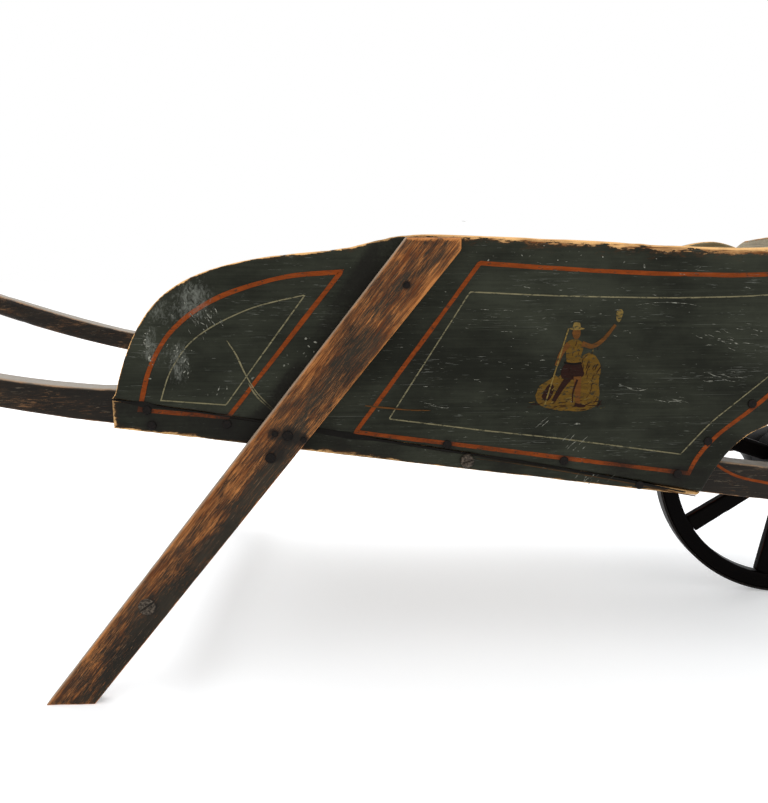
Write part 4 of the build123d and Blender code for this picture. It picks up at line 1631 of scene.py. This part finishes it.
@dataclass
class Pinstripes:
    """Orange and cream lines on the side boards and shaft fronts."""

    orange: float = 2.7
    cream: float = 0.8
    shaft: float = 1.9

    REAR = ((-153.8, 194.5), (-99.0, 189.2), (-26.6, 280.1))
    REAR_ARC = ((-26.6, 280.1), (-51.8, 278.3), (-70.3, 275.2), (-88.8, 269.8), (-104.3, 263.7),
                (-120.0, 254.5), (-132.7, 242.8), (-140.7, 231.7), (-146.1, 221.1), (-149.8, 210.3),
                (-153.8, 194.5))
    REAR_CREAM = ((-140.4, 200.4), (-99.9, 197.2), (-49.0, 266.0))
    REAR_CREAM_ARC = ((-49.0, 266.0), (-75.6, 260.0), (-92.4, 253.8), (-108.1, 245.8), (-120.7, 236.6),
                      (-129.2, 226.0), (-135.3, 215.3), (-140.4, 200.4))
    MAIN_FRONT = ((201.1, 149.0), (204.1, 156.0), (207.5, 161.8), (212.5, 168.3), (221.7, 177.4),
                  (240.8, 192.3), (259.0, 208.6), (290.0, 236.5), (318.0, 261.7), (331.0, 276.0),
                  (331.0, 287.0), (322.0, 291.0))
    MAIN_TOP = ((322.0, 291.0), (300.0, 288.0), (270.0, 282.0), (243.2, 278.4), (192.9, 278.4),
                (148.1, 280.0), (103.7, 282.5), (59.6, 285.6))
    MAIN_LEFT = ((59.6, 285.6), (-18.0, 179.0), (75.3, 166.2), (134.8, 157.8), (201.1, 149.0))
    CREAM_FRONT = ((194.7, 162.1), (212.8, 182.1), (227.1, 194.6), (249.0, 213.0), (280.0, 240.0),
                   (303.0, 262.0), (309.0, 271.5), (304.0, 276.0))
    CREAM_TOP = ((304.0, 276.0), (275.0, 269.6), (244.3, 265.6), (200.4, 264.1), (161.8, 264.1),
                 (110.7, 265.2), (53.8, 267.7))
    CREAM_LEFT = ((53.8, 267.7), (3.2, 187.3), (62.0, 179.5), (114.4, 173.4), (194.7, 162.1))
    SHAFT_LINE = ((226.0, 151.0), (232.0, 147.2), (240.0, 143.4), (250.0, 140.6), (262.0, 138.0),
                  (285.0, 131.6), (310.0, 121.5), (332.0, 108.6), (345.0, 102.6), (356.0, 101.8),
                  (366.0, 107.0), (369.5, 117.0), (365.5, 127.0), (354.0, 131.6), (335.0, 133.8),
                  (305.0, 137.6), (276.0, 141.6))

    def loops(self) -> list[tuple[str, float, np.ndarray]]:
        """Join the arcs and straights of each line on a side board.

        Returns:
            Name, width and closed path of each line.
        """
        def joined(*parts: np.ndarray) -> np.ndarray:
            """Parts end to end without the repeated corners."""
            return np.vstack([part[:-1] for part in parts[:-1]] + [parts[-1]])

        rear = joined(np.array(self.REAR), smooth_path(self.REAR_ARC))
        rear_cream = joined(np.array(self.REAR_CREAM), smooth_path(self.REAR_CREAM_ARC))
        main = joined(smooth_path(self.MAIN_FRONT), smooth_path(self.MAIN_TOP), np.array(self.MAIN_LEFT))
        main_cream = joined(smooth_path(self.CREAM_FRONT), smooth_path(self.CREAM_TOP),
                            np.array(self.CREAM_LEFT))
        return [("rear_orange", self.orange, rear), ("rear_cream", self.cream, rear_cream),
                ("main_orange", self.orange, main), ("main_cream", self.cream, main_cream)]

    def build(self, boards: dict[str, Plank], shafts: dict[str, Plank], palette: Palette) -> None:
        """Lay the lines on the outer faces of both boards and both shafts, and colour them.

        Args:
            boards: the side boards and the strip.
            shafts: the shafts by side.
            palette: the finishes.
        """
        for side in ("right", "left"):
            mirrored = side == "left"
            over = [boards[side]] if mirrored else [boards["right"], boards["strip"]]
            skin = Skin(over, mirrored=mirrored)
            for number, (name, width, path) in enumerate(self.loops()):
                piece = skin.stripe(f"{side}_{name}_line", path, width, seed=200 + number)
                coat(piece, palette.orange if "orange" in name else palette.cream)
            bar = Skin([shafts[side]], mirrored=mirrored)
            coat(bar.stripe(f"{side}_shaft_line", smooth_path(self.SHAFT_LINE), self.shaft, 230),
                 palette.orange)


@dataclass
class Wounds:
    """Scratches, knocks and the open split of the right side board.

    A row of CLUSTERS is as Skin.strokes says; the other tables are paths and widths along them.
    """

    lift: float = 0.2
    shadow_lift: float = 0.16

    CLUSTERS = ((223.0, 240.0, 26, 9, 30, -12, 9, 4.5, 0.34), (219.0, 214.0, 16, 6, 14, -8, 8, 6.0, 0.34),
                (163.0, 205.0, 3, 2, 2, -6, 3, 13.0, 0.35), (157.0, 207.5, 2, 1, 1, -17, 1, 24.0, 0.35),
                (192.0, 198.0, 14, 2, 6, -6, 4, 9.0, 0.32), (122.0, 171.0, 9, 6, 9, 46, 7, 7.0, 0.5),
                (102.0, 183.0, 6, 3, 6, 42, 6, 6.0, 0.4), (125.0, 183.0, 1, 1, 1, 0, 4, 3.4, 1.2),
                (135.0, 146.0, 16, 3, 12, 52, 9, 4.0, 0.4), (100.0, 230.0, 110, 60, 60, -3, 24, 2.6, 0.26),
                (150.0, 262.0, 80, 16, 22, -4, 16, 3.6, 0.28), (180.0, 261.5, 3, 1, 2, -1, 1, 34.0, 0.3),
                (-60.0, 224.0, 8, 5, 4, 30, 60, 1.6, 1.4), (-104.0, 205.0, 9, 5, 5, 70, 20, 3.0, 0.6),
                (-112.0, 252.0, 14, 10, 30, -70, 28, 3.5, 0.5), (-128.0, 226.0, 8, 14, 26, 60, 50, 2.4, 0.6),
                (-147.0, 232.0, 4, 12, 26, 20, 80, 1.5, 1.0), (-47.0, 238.0, 4, 10, 7, 0, 80, 1.6, 1.6),
                (-82.0, 214.5, 1, 1, 2, 40, 20, 3.0, 1.6), (60.0, 250.0, 26, 12, 8, -3, 4, 6.0, 0.28),
                (70.0, 205.0, 60, 24, 16, -2, 8, 3.4, 0.24), (40.0, 196.0, 9, 3, 3, -9, 3, 12.0, 0.3),
                (90.0, 290.0, 80, 5, 16, 10, 40, 1.3, 0.6), (163.0, 283.5, 0.5, 0.5, 1, 30, 9, 2.8, 2.0))
    CRACK = ((-171.0, 201.2), (-149.0, 197.6), (-120.0, 193.1), (-90.0, 188.4), (-60.0, 183.3),
             (-30.0, 177.9), (0.0, 173.0), (40.0, 166.2), (90.0, 158.0), (150.0, 146.7), (200.0, 136.2))
    CRACK_WIDTHS = ((0.0, 0.8), (0.03, 1.2), (0.05, 4.0), (0.075, 1.2), (0.1, 0.9), (0.3, 1.0),
                    (0.36, 3.4), (0.4, 4.4), (0.45, 1.4), (0.6, 1.1), (0.75, 1.2), (0.9, 1.4), (1.0, 0.8))
    SCORES = (((-98.0, 238.0), (-92.5, 229.0), (-87.0, 216.5), (-79.5, 204.0), (-66.0, 190.0)),
              ((-85.5, 211.0), (-80.0, 202.0), (-69.0, 191.5)),
              ((-12.0, 196.0), (2.0, 194.5), (16.0, 193.0), (30.0, 192.6)))
    SCORE_WIDTHS = ((0.0, 0.5), (0.25, 1.1), (0.6, 0.6), (0.85, 0.8), (1.0, 0.2))
    SPLIT_LIGHT = ((60.0, 160.6), (90.0, 156.2), (150.0, 145.2), (190.0, 136.6), (207.0, 133.4))
    SPLIT_WIDTHS = ((0.0, 0.1), (0.3, 0.3), (0.7, 0.4), (1.0, 0.8))

    def build(self, boards: dict[str, Plank], palette: Palette) -> None:
        """Lay the marks on the right side board and its strip, and colour them.

        Args:
            boards: the side boards and the strip.
            palette: the finishes.
        """
        over = [boards["right"], boards["strip"]]
        skin = Skin(over, lift=self.lift)
        coat(skin.strokes("board_scratches", self.CLUSTERS), palette.pale)
        gap = Skin(over, lift=self.shadow_lift)
        coat(gap.limb("split_shadow", self.CRACK, self.CRACK_WIDTHS), palette.dark)
        for number, path in enumerate(self.SCORES, 1):
            coat(skin.limb(f"score_{number}", path, self.SCORE_WIDTHS),
                 palette.ochre if number == len(self.SCORES) else palette.cream)
        coat(skin.limb("split_edge", self.SPLIT_LIGHT, self.SPLIT_WIDTHS), palette.ochre)


@dataclass
class Motif:
    """A small painted farmhand on a hillock, waving a sheaf beside a hay fork.

    All places are millimetres from the hillock's foot, which lies at (s, z) on the side board.
    Every coat lies a little further out than the one before.
    """

    s: float = 118.0
    z: float = 192.0
    lift: float = 0.17
    coat_step: float = 0.012
    marks_lift: float = 0.26

    FILLED = (("hillock", "gold", 0.6,
               ((-21, 10), (-19, 5), (-13, 1.5), (-4, 0), (6, -0.5), (14, 0.5), (19, 3), (21, 10), (20, 18),
                (21, 26), (18, 34), (12, 37), (7, 33), (3, 28), (-2, 26), (-6, 22), (-9, 23), (-13, 19),
                (-18, 16))),
              ("hollow", "umber", 0.4, ((-17, 9), (-14, 6), (-11, 8), (-9, 13), (-10, 17), (-13, 16))),
              ("breeches", "umber", 0.3,
               ((-5, 25), (-4, 21), (1, 20), (6, 20.5), (10, 23), (9, 28), (7, 31), (0, 31.5), (-3, 29))),
              ("shirt", "gold", 0.3,
               ((-2, 38), (-1, 31), (3, 30), (7.5, 31), (8, 36), (9, 42), (6, 45.5), (1, 45.5), (-2, 43))),
              ("head", "ochre", 0.1,
               ((1.4, 50), (2.4, 46.8), (4.2, 46), (6, 47), (6.8, 50), (6, 52.8), (4, 53.6), (2.2, 52.8))),
              ("hat", "straw", 0.1,
               ((-1.2, 52.6), (1.8, 51.8), (6.6, 51.8), (9.4, 52.6), (6.8, 53.6), (6, 56.2), (2.4, 56.4),
                (1.6, 53.8))),
              ("sheaf", "straw", 0.4,
               ((29, 60), (29.6, 57.6), (31.4, 56.8), (32.8, 59), (33.6, 63.4), (31.4, 65), (29.4, 63.4))))
    DRAWN = (("far_leg", "umber", ((1, 22), (-4, 15), (-9, 6)), ((0, 4.4), (0.6, 3.2), (1, 2.6))),
             ("near_leg", "ochre", ((6, 22), (6.5, 13), (7, 4)), ((0, 5.0), (0.6, 3.8), (1, 3.0))),
             ("boots", "umber", ((5, 4), (8, 3), (12, 2.6)), ((0, 2.0), (0.5, 2.4), (1, 0.8))),
             ("low_arm", "ochre", ((-0.5, 43), (-5, 37), (-8, 29)), ((0, 3.6), (1, 2.2))),
             ("high_arm", "ochre", ((8, 43), (15, 41.5), (22, 46), (29, 55)),
              ((0, 3.4), (0.5, 2.6), (1, 1.8))),
             ("fork_shaft", "straw", ((-15, 2), (-10, 20), (-4, 42), (-1, 53)), ((0, 0.9), (1, 0.9))),
             ("belt", "dark", ((-3, 31), (3, 30.2), (8, 30.8)), ((0, 1.1), (1, 1.1))),
             ("shade", "umber", ((6, 20), (3.6, 12), (3.4, 5)), ((0, 1.4), (1, 0.7))))
    TUFTS = ((1, 4, 26, 4, 26, 8, 14, 6.0, 0.5), (14, 22, 7, 20, 22, 70, 30, 5.0, 0.5),
             (3.5, 25, 8, 5, 14, 85, 8, 5.0, 0.4), (4, 39, 5, 8, 9, 70, 30, 3.0, 0.35))
    GLINTS = ((2, 5, 26, 6, 12, 5, 12, 4.0, 0.35), (15, 24, 5, 16, 9, 75, 20, 3.0, 0.35),
              (-9, 12, 4, 7, 6, 60, 30, 4.0, 0.5))

    def at(self, rows: Sequence[tuple[float, ...]]) -> list[tuple[float, ...]]:
        """Rows whose first two numbers are moved from the motif's own origin to the board's."""
        return [(self.s + row[0], self.z + row[1], *row[2:]) for row in rows]

    def build(self, boards: dict[str, Plank], palette: Palette) -> None:
        """Paint the motif in thin coats, from the hillock to the straw hat, then the limbs.

        Args:
            boards: the side boards and the strip.
            palette: the finishes.
        """
        over, lift = [boards["right"]], self.lift
        for name, finish, ragged, outline in self.FILLED:
            coat(Skin(over, lift=lift).blob(f"motif_{name}", self.at(outline), ragged, 7),
                 getattr(palette, finish))
            lift += self.coat_step
        marks = Skin(over, lift=self.marks_lift)
        coat(marks.strokes("motif_tufts", self.at(self.TUFTS), 11), palette.umber)
        coat(marks.strokes("motif_glints", self.at(self.GLINTS), 12), palette.straw)
        for name, finish, path, widths in self.DRAWN:
            lift += self.coat_step
            coat(Skin(over, lift=lift).limb(f"motif_{name}", self.at(path), widths),
                 getattr(palette, finish))


@dataclass
class Studio:
    """Pale floor, soft lights and the camera."""

    lens: float = 34.48
    sensor: float = 36.0
    pitch: float = 10.065
    camera_place: tuple[float, float, float] = (0.0, -0.6465, 0.2843)
    nearest: float = 0.02
    floor_half: float = 12.0
    floor_colour: Colour = (0.85, 0.865, 0.88)
    floor_glow: float = 0.28
    aim: tuple[float, float, float] = (0.0, 0.0, 0.15)

    WHITE = (1.0, 1.0, 1.0)
    LIGHTS = (("key", (-0.9, -1.7, 2.0), 2.2, 16.0), ("fill", (1.4, -1.5, 1.2), 2.0, 8.0),
              ("top", (-0.3, 1.7, 2.1), 2.2, 36.0))

    def build(self) -> None:
        """Build the floor, the lights, the plain white world and the camera."""
        self.floor()
        for name, place, size, power in self.LIGHTS:
            self.light(name, place, size, power)
        scene = bpy.context.scene
        scene.world = bpy.data.worlds.new("studio")
        scene.world.use_nodes = True
        background = scene.world.node_tree.nodes["Background"]
        background.inputs["Color"].default_value = (*self.WHITE, 1.0)
        background.inputs["Strength"].default_value = 1.0
        lens = bpy.data.cameras.new("camera")
        lens.lens, lens.sensor_width, lens.clip_start = self.lens, self.sensor, self.nearest
        camera = bpy.data.objects.new("camera", lens)
        camera.location = self.camera_place
        camera.rotation_euler = (math.radians(90 - self.pitch), 0.0, 0.0)
        scene.collection.objects.link(camera)
        scene.camera = camera
        scene.view_settings.view_transform = "Standard"

    def floor(self) -> None:
        """Lay the square floor, which glows a little so that shadows stay soft."""
        mesh, half = bpy.data.meshes.new("floor"), self.floor_half
        mesh.from_pydata([(-half, -half, 0), (half, -half, 0), (half, half, 0), (-half, half, 0)], [],
                         [(0, 1, 2, 3)])
        ground = bpy.data.objects.new("floor", mesh)
        bpy.context.scene.collection.objects.link(ground)
        g = Graph("floor_paint")
        feed(g.tree, g.shader.inputs["Emission Color"], self.WHITE)
        feed(g.tree, g.shader.inputs["Emission Strength"], self.floor_glow)
        coat(ground, g.finish(self.floor_colour, 0.8, specular=0.0))

    def light(self, name: str, place: tuple[float, float, float], size: float, power: float) -> None:
        """Add a soft square light aimed at the barrow's middle.

        Args:
            name: name of the light.
            place: where it stands, in metres.
            size: side of the square, in metres.
            power: power in watts.
        """
        lamp = bpy.data.lights.new(name, "AREA")
        lamp.size, lamp.energy = size, power
        shown = bpy.data.objects.new(name, lamp)
        shown.location = place
        aim = Vector(self.aim) - shown.location
        shown.rotation_euler = aim.to_track_quat("-Z", "Y").to_euler()
        bpy.context.scene.collection.objects.link(shown)


def write_sizes() -> None:
    """Bring the view layer up to date."""
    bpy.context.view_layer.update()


def main() -> None:
    """Build the barrow in order; every piece is logged as it is made."""
    logging.basicConfig(level=logging.INFO, format="%(name)s: %(message)s")
    palette = Palette()
    sides, bars = SideBoards(), Shafts()
    boards = sides.build()
    sides.dress(boards, palette)
    shafts = bars.build()
    bars.dress(shafts, palette)
    for part in (Undercarriage(), Bed(), Wheel()):
        part.dress(part.build(), palette)
    Pinstripes().build(boards, shafts, palette)
    Wounds().build(boards, palette)
    Motif().build(boards, palette)
    Ironwork().dress(palette)
    Studio().build()
    write_sizes()


if __name__ == "__main__":
    main()
